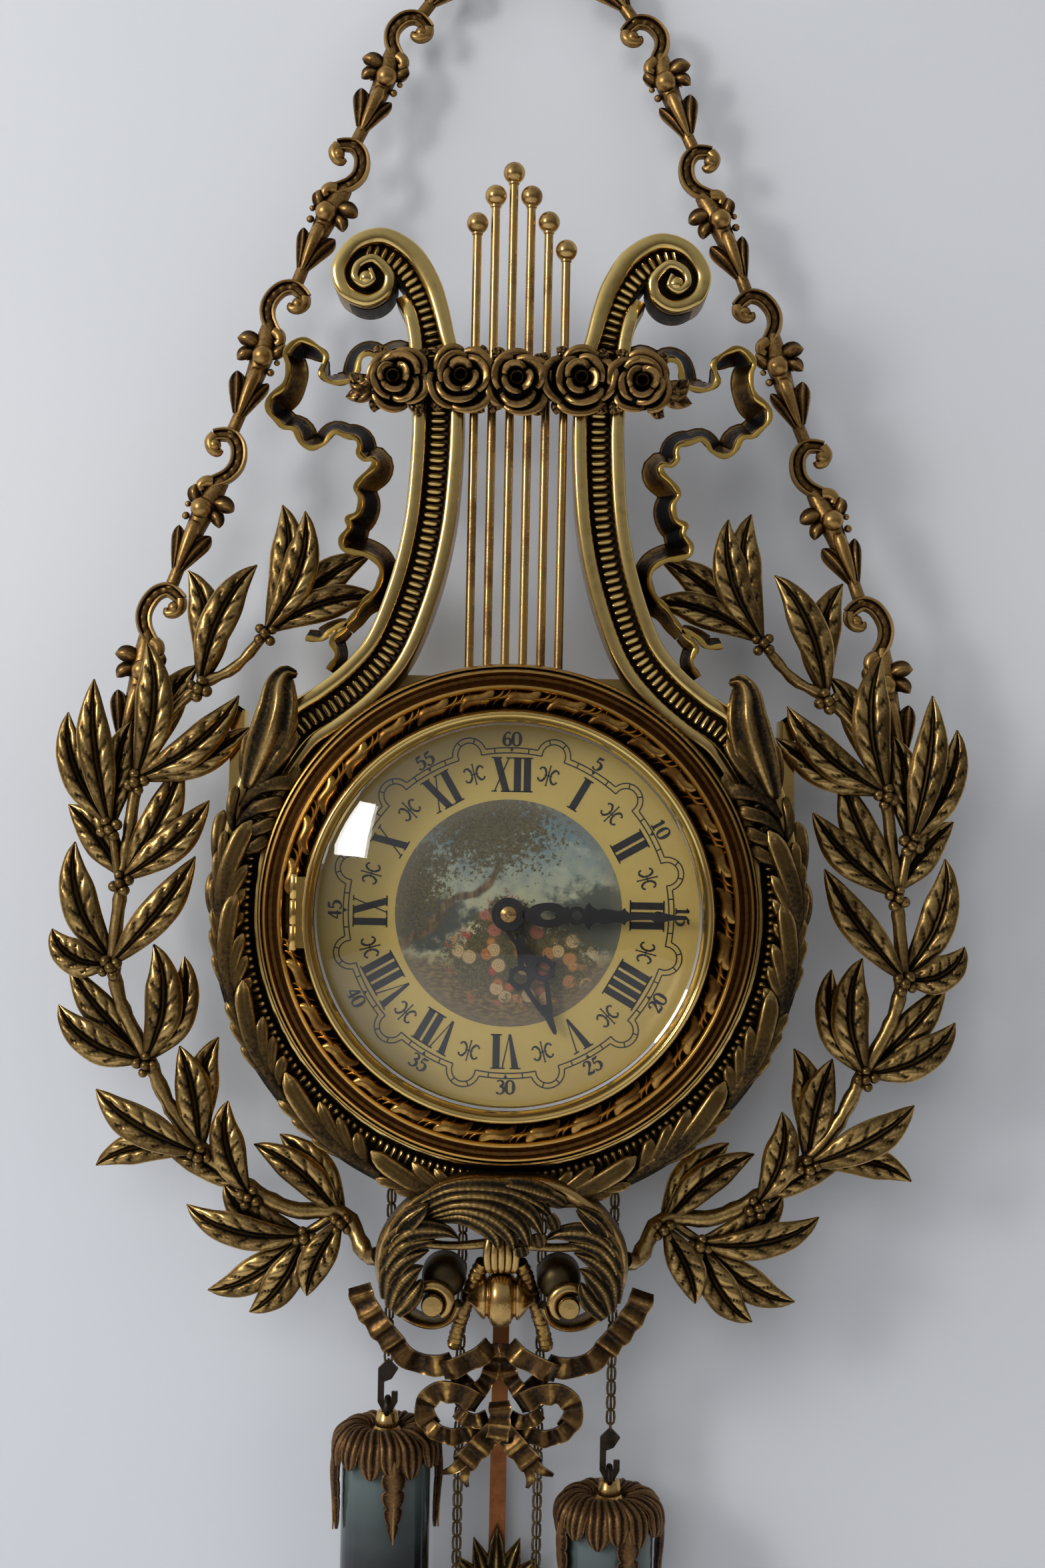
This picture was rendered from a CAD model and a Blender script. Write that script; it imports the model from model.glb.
import math
import random

import bpy
import bmesh
from mathutils import Matrix, Vector
from mathutils.geometry import tessellate_polygon


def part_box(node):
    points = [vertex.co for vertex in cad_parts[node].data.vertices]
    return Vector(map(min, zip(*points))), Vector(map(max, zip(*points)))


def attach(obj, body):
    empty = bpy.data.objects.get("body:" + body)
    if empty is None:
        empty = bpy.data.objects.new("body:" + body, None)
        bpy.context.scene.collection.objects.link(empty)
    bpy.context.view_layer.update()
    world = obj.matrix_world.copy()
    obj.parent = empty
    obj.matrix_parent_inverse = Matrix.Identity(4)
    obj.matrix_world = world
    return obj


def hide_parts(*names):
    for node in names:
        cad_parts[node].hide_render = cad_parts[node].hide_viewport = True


# Lyre wall clock in gilt bronze. Lengths below are millimetres: x to the right, out from the wall
# into the room, z up, counted from the axis of the hands on the wall.
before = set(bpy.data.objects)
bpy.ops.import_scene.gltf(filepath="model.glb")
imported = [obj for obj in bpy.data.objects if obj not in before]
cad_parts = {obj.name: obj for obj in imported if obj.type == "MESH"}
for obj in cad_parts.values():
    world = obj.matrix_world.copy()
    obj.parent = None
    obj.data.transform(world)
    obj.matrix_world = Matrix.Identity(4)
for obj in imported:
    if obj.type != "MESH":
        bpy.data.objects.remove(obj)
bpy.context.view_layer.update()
mm = 0.001
roomward = Vector((0, -1, 0))
leftToRight = Matrix.Diagonal((-1, 1, 1, 1))


def spot(x, out, z):
    return Vector((x * mm, -out * mm, z * mm))


def fade(low, high, value):
    t = min(max((value - low) / (high - low), 0), 1)
    return t * t * (3 - 2 * t)


def bump(value, centre, halfWidth):
    return math.exp(-(((value - centre) / halfWidth) ** 2))


# Even points on a smooth line through hand-placed ones; extra numbers such as widths go along
def lineThrough(points, per=8, loop=False):
    rows = [tuple(p) for p in points]
    count = len(rows)
    spans = count if loop else count - 1
    out = []
    for i in range(spans):
        if loop:
            a, b, c, d = (rows[(i + k - 1) % count] for k in range(4))
        else:
            a, b, c, d = (rows[min(max(i + k - 1, 0), count - 1)] for k in range(4))
        for k in range(per):
            t = k / per
            out.append(tuple(
                0.5 * (2 * q + (r - p) * t + (2 * p - 5 * q + 4 * r - s) * t * t
                       + (3 * q - p - 3 * r + s) * t ** 3)
                for p, q, r, s in zip(a, b, c, d)))
    if not loop:
        out.append(rows[-1])
    return out


# A casting gathers closed shells, each point with its wear from 0 in a hollow to 1 on a rubbed edge
class Casting:
    def __init__(self):
        self.points, self.wear, self.faces, self.kinds = [], [], [], []

    def grid(self, rows, around=True, ends=True, loop=False, kind=0):
        base = len(self.points)
        wide = len(rows[0])
        for row in rows:
            for place, wear in row:
                self.points.append(place)
                self.wear.append(wear)
        last = len(rows) if loop else len(rows) - 1
        for i in range(last):
            j = (i + 1) % len(rows)
            for k in range(wide if around else wide - 1):
                m = (k + 1) % wide
                self.faces.append((base + i * wide + k, base + i * wide + m, base + j * wide + m,
                        base + j * wide + k))
                self.kinds.append(kind)
        if ends and not loop and around:
            for start in (0, (len(rows) - 1) * wide):
                self.faces.append(tuple(base + start + k for k in range(wide)))
                self.kinds.append(kind)

    def join(self, other, matrix=None, kind=None):
        base = len(self.points)
        self.points += [matrix @ p for p in other.points] if matrix else [p.copy() for p in other.points]
        self.wear += other.wear
        self.faces += [tuple(base + k for k in face) for face in other.faces]
        self.kinds += other.kinds if kind is None else [kind] * len(other.faces)

    def mirrored(self):
        twin = Casting()
        twin.join(self, leftToRight)
        return twin

    def mirror(self):
        self.join(self.mirrored())

    def mesh(self, name, materials, sharp=48):
        mesh = bpy.data.meshes.new(name)
        mesh.from_pydata([tuple(p) for p in self.points], [], self.faces)
        for material in materials:
            mesh.materials.append(material)
        for face, kind in zip(mesh.polygons, self.kinds):
            face.material_index = kind
        layer = mesh.attributes.new("wear", "FLOAT", "POINT")
        layer.data.foreach_set("value", [min(max(w, 0), 1) for w in self.wear])
        work = bmesh.new()
        work.from_mesh(mesh)
        bmesh.ops.remove_doubles(work, verts=work.verts, dist=2e-6)
        bmesh.ops.dissolve_degenerate(work, dist=1e-7, edges=work.edges)
        bmesh.ops.recalc_face_normals(work, faces=work.faces)
        work.to_mesh(mesh)
        work.free()
        mesh.shade_smooth()
        mesh.set_sharp_from_angle(angle=math.radians(sharp))
        return mesh


def place(name, mesh, body, slot, nodes=()):
    piece = bpy.data.objects.new(name, mesh)
    bpy.context.collection.objects.link(piece)
    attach(piece, body)
    if nodes:
        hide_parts(*nodes)


# Places a left half and its mirror image, each for its own node
def placePair(name, casting, material, slot, node):
    for side, half in (("left", casting), ("right", casting.mirrored())):
        mesh = half.mesh(name + " " + side, [material])
        place(name + "_" + side, mesh, "clock", slot, [node + "_" + side])


# Carries a section along stations of (x, out, z, width, depth); the section is (across, outward, wear)
def sweep(casting, stations, section, loop=False):
    spots = [spot(s[0], s[1], s[2]) for s in stations]
    count = len(stations)
    rows = []
    for i, s in enumerate(stations):
        ahead = spots[(i + 1) % count] if loop else spots[min(i + 1, count - 1)]
        behind = spots[(i - 1) % count] if loop else spots[max(i - 1, 0)]
        along = (ahead - behind).normalized()
        side = along.cross(roomward).normalized()
        front = side.cross(along)
        rows.append([(spots[i] + side * (u * s[3] * mm) + front * (v * s[4] * mm), w) for u, v,
                     w in section])
    casting.grid(rows, loop=loop)


# A body turned about the axis of the hands, from (radius, out, wear)
def turned(casting, profile, steps=128, x=0, z=0, closed=True):
    rows = []
    for i in range(steps):
        turn = math.radians(360 * i / steps)
        rows.append([(spot(x + r * math.sin(turn), out, z + r * math.cos(turn)), w) for r, out,
                     w in profile])
    casting.grid(rows, around=closed, loop=True)


# A body turned about an upright line, from (radius, z, wear)
def turnedUpright(casting, profile, x, out, steps=32, closed=True):
    rows = []
    for i in range(steps):
        turn = 2 * math.pi * i / steps
        rows.append([(spot(x + r * math.sin(turn), out + r * math.cos(turn), z), w) for r, z, w in profile])
    casting.grid(rows, around=closed, loop=True)


def ball(casting, x, out, z, radius, wear=0.8, steps=16, flat=1.0):
    rows = []
    for i in range(steps // 2 + 1):
        tilt = math.pi * i / (steps // 2)
        ring = []
        for k in range(steps):
            turn = 2 * math.pi * k / steps
            r = radius * math.sin(tilt)
            front = math.cos(tilt)
            ring.append((spot(x + r * math.sin(turn), out + radius * front * flat, z + r * math.cos(turn)),
                         wear * (0.35 + 0.65 * fade(-0.5, 0.5, front))))
        rows.append(ring)
    casting.grid(rows, ends=False)


# A flat plate between two depths, from outlines in x and z; the later ones are holes
def plate(casting, outlines, back, front, wear=0.8):
    loops = [[Vector((x * mm, z * mm, 0)) for x, z in loop] for loop in outlines]
    flat = [p for loop in loops for p in loop]
    faces = tessellate_polygon(loops)
    base = len(casting.points)
    total = len(flat)
    for out in (back, front):
        casting.points += [Vector((p.x, -out * mm, p.y)) for p in flat]
        casting.wear += [wear] * total
    for a, b, c in faces:
        casting.faces += [(base + a, base + b, base + c), (base + total + a, base + total + c,
                base + total + b)]
        casting.kinds += [0, 0]
    start = 0
    for loop in loops:
        n = len(loop)
        for k in range(n):
            a, b = base + start + k, base + start + (k + 1) % n
            casting.faces.append((a, b, b + total, a + total))
            casting.kinds.append(0)
        start += n


# A stroke of a drawn or inlaid line
def stroke(casting, points, width, back, front, wear=0.8, loop=False):
    middle, deep = (back + front) / 2, front - back
    section = [(-0.5, -0.5, wear), (-0.5, 0.5, wear), (0.5, 0.5, wear), (0.5, -0.5, wear)]
    stations = [(p[0], middle, p[1], p[2] if len(p) > 2 else width, deep) for p in points]
    sweep(casting, stations, section, loop)


# Materials
def newGroup(name, inputs, outputs):
    tree = bpy.data.node_groups.new(name, "ShaderNodeTree")
    for label, kind, value in inputs:
        socket = tree.interface.new_socket(label, in_out="INPUT", socket_type="NodeSocket" + kind)
        socket.default_value = value
    for label, kind in outputs:
        tree.interface.new_socket(label, in_out="OUTPUT", socket_type="NodeSocket" + kind)
    return tree, tree.nodes.new("NodeGroupInput").outputs, tree.nodes.new("NodeGroupOutput").inputs


def maths(tree, operation, a, b=None):
    node = tree.nodes.new("ShaderNodeMath")
    node.operation = operation
    for socket, value in zip(node.inputs, (a, b)):
        if value is None:
            continue
        if isinstance(value, (int, float)):
            socket.default_value = value
        else:
            tree.links.new(value, socket)
    return node.outputs[0]


def mixColour(tree, factor, a, b):
    node = tree.nodes.new("ShaderNodeMix")
    node.data_type = "RGBA"
    for socket, value in zip((node.inputs[0], node.inputs[6], node.inputs[7]), (factor, a, b)):
        if isinstance(value, (int, float, tuple)):
            socket.default_value = value
        else:
            tree.links.new(value, socket)
    return node.outputs[2]


def mixValue(tree, factor, a, b):
    node = tree.nodes.new("ShaderNodeMix")
    for socket, value in zip((node.inputs[0], node.inputs[2], node.inputs[3]), (factor, a, b)):
        if isinstance(value, (int, float)):
            socket.default_value = value
        else:
            tree.links.new(value, socket)
    return node.outputs[0]


def ramp(tree, value, low, high):
    node = tree.nodes.new("ShaderNodeMapRange")
    node.interpolation_type = "SMOOTHSTEP"
    for index, number in ((1, low), (2, high)):
        node.inputs[index].default_value = number
    tree.links.new(value, node.inputs[0])
    return node.outputs[0]


def objectNoise(tree, scale, detail=3.0, roughness=0.5):
    coords = tree.nodes.new("ShaderNodeTexCoord")
    mapping = tree.nodes.new("ShaderNodeMapping")
    node = tree.nodes.new("ShaderNodeTexNoise")
    node.inputs["Detail"].default_value = detail
    node.inputs["Roughness"].default_value = roughness
    if isinstance(scale, (int, float)):
        node.inputs["Scale"].default_value = scale
    else:
        tree.links.new(scale, node.inputs["Scale"])
    tree.links.new(coords.outputs["Object"], mapping.inputs["Vector"])
    tree.links.new(mapping.outputs["Vector"], node.inputs["Vector"])
    return node.outputs["Fac"]


# Old gilding: rubbed bright where it stands proud, dark where dirt has stayed in the hollows
def oldGilding():
    tree, given, result = newGroup("old gilding", [
        ("Bright", "Color", (0.6, 0.4, 0.13, 1)), ("Body", "Color", (0.3, 0.17, 0.06, 1)),
        ("Hollow", "Color", (0.02, 0.016, 0.014, 1)), ("Bright roughness", "Float", 0.2),
        ("Body roughness", "Float", 0.35), ("Hollow roughness", "Float", 0.6),
        ("Grain scale", "Float", 900.0),
        ("Blotch", "Float", 0.35), ("Reach", "Float", 0.006)],
        [("Color", "Color"), ("Roughness", "Float"), ("Height", "Float")])
    worn = tree.nodes.new("ShaderNodeAttribute")
    worn.attribute_name = "wear"
    shade = tree.nodes.new("ShaderNodeAmbientOcclusion")
    shade.samples = 6
    tree.links.new(given["Reach"], shade.inputs["Distance"])
    grain = objectNoise(tree, given["Grain scale"], 4)
    cloud = objectNoise(tree, 70.0, 3)
    clear = ramp(tree, shade.outputs["AO"], 0.25, 0.85)
    high = maths(tree, "MULTIPLY", worn.outputs["Fac"], mixValue(tree, clear, 0.42, 1.0))
    drift = maths(tree, "MULTIPLY", maths(tree, "SUBTRACT", cloud, 0.5), given["Blotch"])
    speck = maths(tree, "MULTIPLY", maths(tree, "SUBTRACT", grain, 0.5), 0.55)
    mask = maths(tree, "ADD", maths(tree, "ADD", high, drift), speck)
    low, top = ramp(tree, mask, 0.12, 0.5), ramp(tree, mask, 0.5, 0.98)
    colour = mixColour(tree, low, given["Hollow"], given["Body"])
    tree.links.new(mixColour(tree, top, colour, given["Bright"]), result["Color"])
    rough = mixValue(tree, low, given["Hollow roughness"], given["Body roughness"])
    tree.links.new(mixValue(tree, top, rough, given["Bright roughness"]), result["Roughness"])
    tree.links.new(grain, result["Height"])
    return tree


# Plain metal that has been handled: soft clouds of tarnish and fine scratches
def handledMetal():
    tree, given, result = newGroup("handled metal", [
        ("Clean", "Color", (0.7, 0.5, 0.2, 1)), ("Tarnish", "Color", (0.35, 0.2, 0.08, 1)),
        ("Clean roughness", "Float", 0.15), ("Tarnish roughness", "Float", 0.4),
        ("Cloud scale", "Float", 40.0),
        ("Amount", "Float", 0.5)],
        [("Color", "Color"), ("Roughness", "Float"), ("Height", "Float")])
    cloud = objectNoise(tree, given["Cloud scale"], 5, roughness=0.6)
    fine = objectNoise(tree, 1400.0, 2)
    dirt = ramp(tree, maths(tree, "ADD", cloud, maths(tree, "MULTIPLY", maths(tree, "SUBTRACT", fine, 0.5),
            0.25)), 0.42, 0.72)
    dirt = maths(tree, "MULTIPLY", dirt, given["Amount"])
    tree.links.new(mixColour(tree, dirt, given["Clean"], given["Tarnish"]), result["Color"])
    tree.links.new(mixValue(tree, dirt, given["Clean roughness"], given["Tarnish roughness"]),
                   result["Roughness"])
    tree.links.new(fine, result["Height"])
    return tree


gildingTree = oldGilding()
metalTree = handledMetal()


def newMaterial(name):
    material = bpy.data.materials.new(name)
    material.use_nodes = True
    return material, material.node_tree, material.node_tree.nodes["Principled BSDF"]


def grouped(name, group, values, metallic, bumpStrength):
    material, tree, surface = newMaterial(name)
    node = tree.nodes.new("ShaderNodeGroup")
    node.node_tree = group
    for label, value in values.items():
        node.inputs[label].default_value = value
    surface.inputs["Metallic"].default_value = metallic
    tree.links.new(node.outputs["Color"], surface.inputs["Base Color"])
    tree.links.new(node.outputs["Roughness"], surface.inputs["Roughness"])
    relief = tree.nodes.new("ShaderNodeBump")
    relief.inputs["Strength"].default_value = bumpStrength
    relief.inputs["Distance"].default_value = 0.0004
    tree.links.new(node.outputs["Height"], relief.inputs["Height"])
    tree.links.new(relief.outputs["Normal"], surface.inputs["Normal"])
    return material


def rgb(r, g, b):
    parts = [c / 255 for c in (r, g, b)]
    return tuple(c / 12.92 if c <= 0.04045 else ((c + 0.055) / 1.055) ** 2.4 for c in parts) + (1,)


# Old gilding; colours and roughness go from bright over body to hollow
def gilding(name, colours, roughness, grain, blotch=0.35, reach=0.006, metallic=1.0, bumpStrength=0.15):
    values = {"Grain scale": grain, "Blotch": blotch, "Reach": reach}
    for part, colour, rough in zip(("Bright", "Body", "Hollow"), colours, roughness):
        values[part] = rgb(*colour)
        values[part + " roughness"] = rough
    return grouped(name, gildingTree, values, metallic, bumpStrength)


# Handled metal; colours and roughness go from clean to tarnish
def metal(name, colours, roughness, clouds, amount, metallic=1.0, bumpStrength=0.05):
    values = {"Cloud scale": clouds, "Amount": amount}
    for part, colour, rough in zip(("Clean", "Tarnish"), colours, roughness):
        values[part] = rgb(*colour)
        values[part + " roughness"] = rough
    return grouped(name, metalTree, values, metallic, bumpStrength)


giltBronze = gilding("gilt bronze", [(204, 168, 104), (108, 84, 47), (38, 34, 29)], (0.26, 0.36, 0.6), 700)
lyreBrass = gilding("lyre brass", [(236, 204, 128), (150, 115, 62), (54, 45, 35)], (0.17, 0.3, 0.55), 240,
                    blotch=0.3, bumpStrength=0.04)
mouldingBrass = gilding("moulding brass", [(210, 164, 88), (132, 92, 44), (26, 21, 16)], (0.2, 0.3, 0.5),
                        420,
                        blotch=0.2, bumpStrength=0.05)
linkBronze = gilding("link bronze", [(186, 146, 86), (100, 72, 40), (34, 26, 19)], (0.34, 0.42, 0.6), 800)
capBronze = gilding("cap bronze", [(178, 138, 86), (114, 84, 54), (48, 36, 26)], (0.42, 0.5, 0.65), 900)
eggBronze = gilding("egg bronze", [(118, 100, 66), (82, 70, 48), (38, 33, 26)], (0.36, 0.42, 0.6), 500)
shellGloss = gilding("shell gloss", [(70, 80, 78), (42, 49, 48), (17, 18, 20)], (0.1, 0.1, 0.12), 9,
                     blotch=0.05, reach=0.003, metallic=0.0, bumpStrength=0.0)
roseBronze = gilding("rose bronze", [(178, 138, 82), (70, 52, 31), (20, 20, 22)], (0.24, 0.34, 0.5), 700,
                     blotch=0.3)
ribbonBronze = gilding("ribbon bronze", [(214, 176, 92), (118, 88, 46), (34, 33, 34)], (0.2, 0.3, 0.5), 500,
                       blotch=0.2)
bowBronze = gilding("bow bronze", [(200, 160, 88), (104, 76, 44), (44, 39, 35)], (0.22, 0.34, 0.5), 600)
polishedBrass = metal("polished brass", [(236, 202, 122), (176, 126, 62)], (0.1, 0.24), 30, 0.45,
                      bumpStrength=0.01)
rodBrass = metal("rod brass", [(206, 168, 104), (120, 82, 50)], (0.22, 0.42), 55, 0.9, bumpStrength=0.03)
movementBrass = metal("movement brass", [(204, 166, 96), (140, 100, 54)], (0.3, 0.45), 60, 0.7)
caseBrass = metal("case brass", [(206, 182, 116), (150, 124, 72)], (0.32, 0.45), 24, 0.5)
darkSteel = metal("dark steel", [(64, 56, 48), (38, 32, 27)], (0.38, 0.55), 160, 0.9, bumpStrength=0.1)
chainMetal = metal("chain metal", [(112, 92, 62), (58, 46, 34)], (0.35, 0.5), 120, 0.9, bumpStrength=0.1)
rodCopper = metal("rod copper", [(156, 98, 58), (112, 68, 40)], (0.34, 0.46), 50, 0.7)
dialGold = metal("dial gold", [(194, 170, 96), (174, 148, 78)], (0.42, 0.5), 25, 0.4, metallic=0.55)
blackEnamel = metal("black enamel", [(9, 8, 9), (20, 18, 17)], (0.42, 0.55), 180, 0.6, metallic=0.0)


def clearGlassMaterial():
    material, tree, surface = newMaterial("clear glass")
    surface.inputs["Base Color"].default_value = (1, 1, 1, 1)
    surface.inputs["Roughness"].default_value = 0.0
    surface.inputs["IOR"].default_value = 1.45
    surface.inputs["Transmission Weight"].default_value = 1.0
    clear = tree.nodes.new("ShaderNodeBsdfTransparent")
    path = tree.nodes.new("ShaderNodeLightPath")
    mix = tree.nodes.new("ShaderNodeMixShader")
    tree.links.new(path.outputs["Is Shadow Ray"], mix.inputs[0])
    tree.links.new(surface.outputs[0], mix.inputs[1])
    tree.links.new(clear.outputs[0], mix.inputs[2])
    tree.links.new(mix.outputs[0], tree.nodes["Material Output"].inputs["Surface"])
    return material


clearGlass = clearGlassMaterial()


# Room: wall, floor, light and camera
room = {"wallHalf": 2.2, "floor": -0.75, "curve": 0.25, "wallColour": (200, 201, 203)}


def backdrop():
    casting = Casting()
    half, low, bend = room["wallHalf"], room["floor"], room["curve"]
    line = [(0.0012, 1.9), (0.0012, 0.8), (0.0012, low + bend)]
    line += [(0.0012 - bend * (1 - math.cos(a)), low + bend - bend * math.sin(a))
             for a in [math.pi / 2 * k / 12 for k in range(1, 13)]]
    line += [(-1.4, low), (-3.2, low)]
    rows = [[(Vector((x, y, z)), 1) for x in (-half, 0, half)] for y, z in line]
    casting.grid(rows, around=False, ends=False)
    material, tree, surface = newMaterial("wall paint")
    roller = objectNoise(tree, 260.0, 4)
    cloud = objectNoise(tree, 2.2, 2)
    tree.links.new(mixColour(tree, ramp(tree, cloud, 0.3, 0.7), rgb(*room["wallColour"]),
                             rgb(195, 197, 201)), surface.inputs["Base Color"])
    surface.inputs["Roughness"].default_value = 0.62
    relief = tree.nodes.new("ShaderNodeBump")
    relief.inputs["Strength"].default_value = 0.12
    relief.inputs["Distance"].default_value = 0.0006
    tree.links.new(roller, relief.inputs["Height"])
    tree.links.new(relief.outputs["Normal"], surface.inputs["Normal"])
    # the wall is one-sided, so that the clock's back shows and has light when it is looked at from behind
    path = tree.nodes.new("ShaderNodeLightPath")
    side = tree.nodes.new("ShaderNodeNewGeometry")
    fromBehind = maths(tree, "MULTIPLY", path.outputs["Is Camera Ray"], side.outputs["Backfacing"])
    near = maths(tree, "LESS_THAN", path.outputs["Ray Length"], 0.02)
    near = maths(tree, "MULTIPLY", near, maths(tree, "SUBTRACT", 1.0, path.outputs["Is Camera Ray"]))
    gone = tree.nodes.new("ShaderNodeBsdfTransparent")
    mix = tree.nodes.new("ShaderNodeMixShader")
    tree.links.new(maths(tree, "MAXIMUM", fromBehind, near), mix.inputs[0])
    tree.links.new(surface.outputs[0], mix.inputs[1])
    tree.links.new(gone.outputs[0], mix.inputs[2])
    tree.links.new(mix.outputs[0], tree.nodes["Material Output"].inputs["Surface"])
    mesh = casting.mesh("backdrop", [material])
    if mesh.polygons[0].normal.y > 0:
        mesh.flip_normals()
    stage = bpy.data.objects.new("backdrop", mesh)
    bpy.context.collection.objects.link(stage)


lights = {
    "window": {"at": (-1.26, -1.27, 0.57), "size": (0.29, 0.45), "power": 9, "colour": (1.0, 0.99, 0.97),
               "glossy": True},
    "sky": {"at": (-2.15, -1.25, 0.85), "size": (1.9, 1.7), "power": 31, "colour": (0.96, 0.98, 1.0),
            "glossy": False},
    "haze": {"at": (-2.15, -1.25, 0.85), "size": (1.9, 1.7), "power": 16, "colour": (0.96, 0.98, 1.0),
             "glossy": True},
    "front": {"at": (-0.5, -2.6, 0.9), "size": (1.4, 1.2), "power": 20, "colour": (0.97, 0.98, 1.0),
              "glossy": False},
    "fill": {"at": (1.7, -1.8, 0.1), "size": (1.4, 1.8), "power": 7, "colour": (1.0, 0.95, 0.9),
             "glossy": False},
}


def lighting():
    for name, facts in lights.items():
        lamp = bpy.data.lights.new(name, "AREA")
        lamp.shape = "RECTANGLE"
        lamp.size, lamp.size_y = facts["size"]
        lamp.energy = facts["power"]
        lamp.color = facts["colour"]
        holder = bpy.data.objects.new(name, lamp)
        bpy.context.collection.objects.link(holder)
        holder.location = facts["at"]
        holder.rotation_euler = (Vector((0, -0.05, 0.02)) - Vector(facts["at"])).to_track_quat("-Z",
                "Y").to_euler()
        holder.visible_glossy = facts["glossy"]
        holder.visible_transmission = facts["glossy"]
    world = bpy.data.worlds.new("room")
    bpy.context.scene.world = world
    world.use_nodes = True
    tree = world.node_tree
    shine = tree.nodes["Background"]
    coords = tree.nodes.new("ShaderNodeTexCoord")
    split = tree.nodes.new("ShaderNodeSeparateXYZ")
    tree.links.new(coords.outputs["Generated"], split.inputs[0])
    upward = ramp(tree, split.outputs["Z"], -0.35, 0.5)
    leftward = ramp(tree, maths(tree, "MULTIPLY", split.outputs["X"], -1), -0.2, 0.9)
    base = mixColour(tree, upward, (0.10, 0.075, 0.055, 1), (0.42, 0.44, 0.47, 1))
    tone = mixColour(tree, leftward, base, mixColour(tree, upward, (0.22, 0.19, 0.17, 1),
            (0.95, 0.98, 1.05, 1)))
    path = tree.nodes.new("ShaderNodeLightPath")
    seen = mixColour(tree, path.outputs["Is Camera Ray"], tone, (0.8, 0.81, 0.83, 1))
    tree.links.new(seen, shine.inputs["Color"])
    shine.inputs["Strength"].default_value = 0.62


view = {"at": (0.0049, -0.935, 0.0559), "roll": 1.15, "lens": 45.4, "sensor": 36}


def camera():
    data = bpy.data.cameras.new("camera")
    data.sensor_fit = "VERTICAL"
    data.sensor_height = view["sensor"]
    data.lens = view["lens"]
    holder = bpy.data.objects.new("camera", data)
    bpy.context.collection.objects.link(holder)
    holder.location = view["at"]
    holder.rotation_euler = (math.radians(90), math.radians(-view["roll"]), 0)
    bpy.context.scene.camera = holder
    bpy.context.scene.view_settings.view_transform = "Standard"


camera()
backdrop()
lighting()
print("room, light and camera ready")


# A tree of geometry nodes that sets copies of an item along a path
def repeatTree():
    tree = bpy.data.node_groups.new("copies along a path", "GeometryNodeTree")
    face = tree.interface
    face.new_socket("Path", in_out="INPUT", socket_type="NodeSocketGeometry")
    face.new_socket("Item", in_out="INPUT", socket_type="NodeSocketObject")
    for label, value in (("Pitch", 0.004), ("Turn per copy", 0.0)):
        face.new_socket(label, in_out="INPUT", socket_type="NodeSocketFloat").default_value = value
    face.new_socket("Finish", in_out="INPUT", socket_type="NodeSocketMaterial")
    face.new_socket("Copies", in_out="OUTPUT", socket_type="NodeSocketGeometry")
    nodes, link = tree.nodes, tree.links.new
    given, result = nodes.new("NodeGroupInput").outputs, nodes.new("NodeGroupOutput").inputs
    toCurve = nodes.new("GeometryNodeMeshToCurve")
    link(given["Path"], toCurve.inputs[0])
    even = nodes.new("GeometryNodeResampleCurve")
    even.mode = "LENGTH"
    link(toCurve.outputs[0], even.inputs["Curve"])
    link(given["Pitch"], even.inputs["Length"])
    stops = nodes.new("GeometryNodeCurveToPoints")
    stops.mode = "EVALUATED"
    link(even.outputs[0], stops.inputs[0])
    upright = nodes.new("FunctionNodeAlignRotationToVector")
    upright.axis = "Z"
    upright.inputs["Vector"].default_value = (0, -1, 0)
    along = nodes.new("FunctionNodeAlignRotationToVector")
    along.axis, along.pivot_axis = "X", "Z"
    link(upright.outputs[0], along.inputs["Rotation"])
    link(stops.outputs["Tangent"], along.inputs["Vector"])
    index = nodes.new("GeometryNodeInputIndex")
    times = nodes.new("ShaderNodeMath")
    times.operation = "MULTIPLY"
    link(index.outputs[0], times.inputs[0])
    link(given["Turn per copy"], times.inputs[1])
    spin = nodes.new("FunctionNodeAxisAngleToRotation")
    spin.inputs["Axis"].default_value = (1, 0, 0)
    link(times.outputs[0], spin.inputs["Angle"])
    turn = nodes.new("FunctionNodeRotateRotation")
    turn.rotation_space = "LOCAL"
    link(along.outputs[0], turn.inputs[0])
    link(spin.outputs[0], turn.inputs[1])
    item = nodes.new("GeometryNodeObjectInfo")
    link(given["Item"], item.inputs["Object"])
    copies = nodes.new("GeometryNodeInstanceOnPoints")
    link(stops.outputs["Points"], copies.inputs["Points"])
    link(item.outputs["Geometry"], copies.inputs["Instance"])
    link(turn.outputs[0], copies.inputs["Rotation"])
    real = nodes.new("GeometryNodeRealizeInstances")
    link(copies.outputs[0], real.inputs[0])
    finish = nodes.new("GeometryNodeSetMaterial")
    link(real.outputs[0], finish.inputs["Geometry"])
    link(given["Finish"], finish.inputs["Material"])
    link(finish.outputs[0], result[0])
    return tree


copiesTree = repeatTree()


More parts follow.
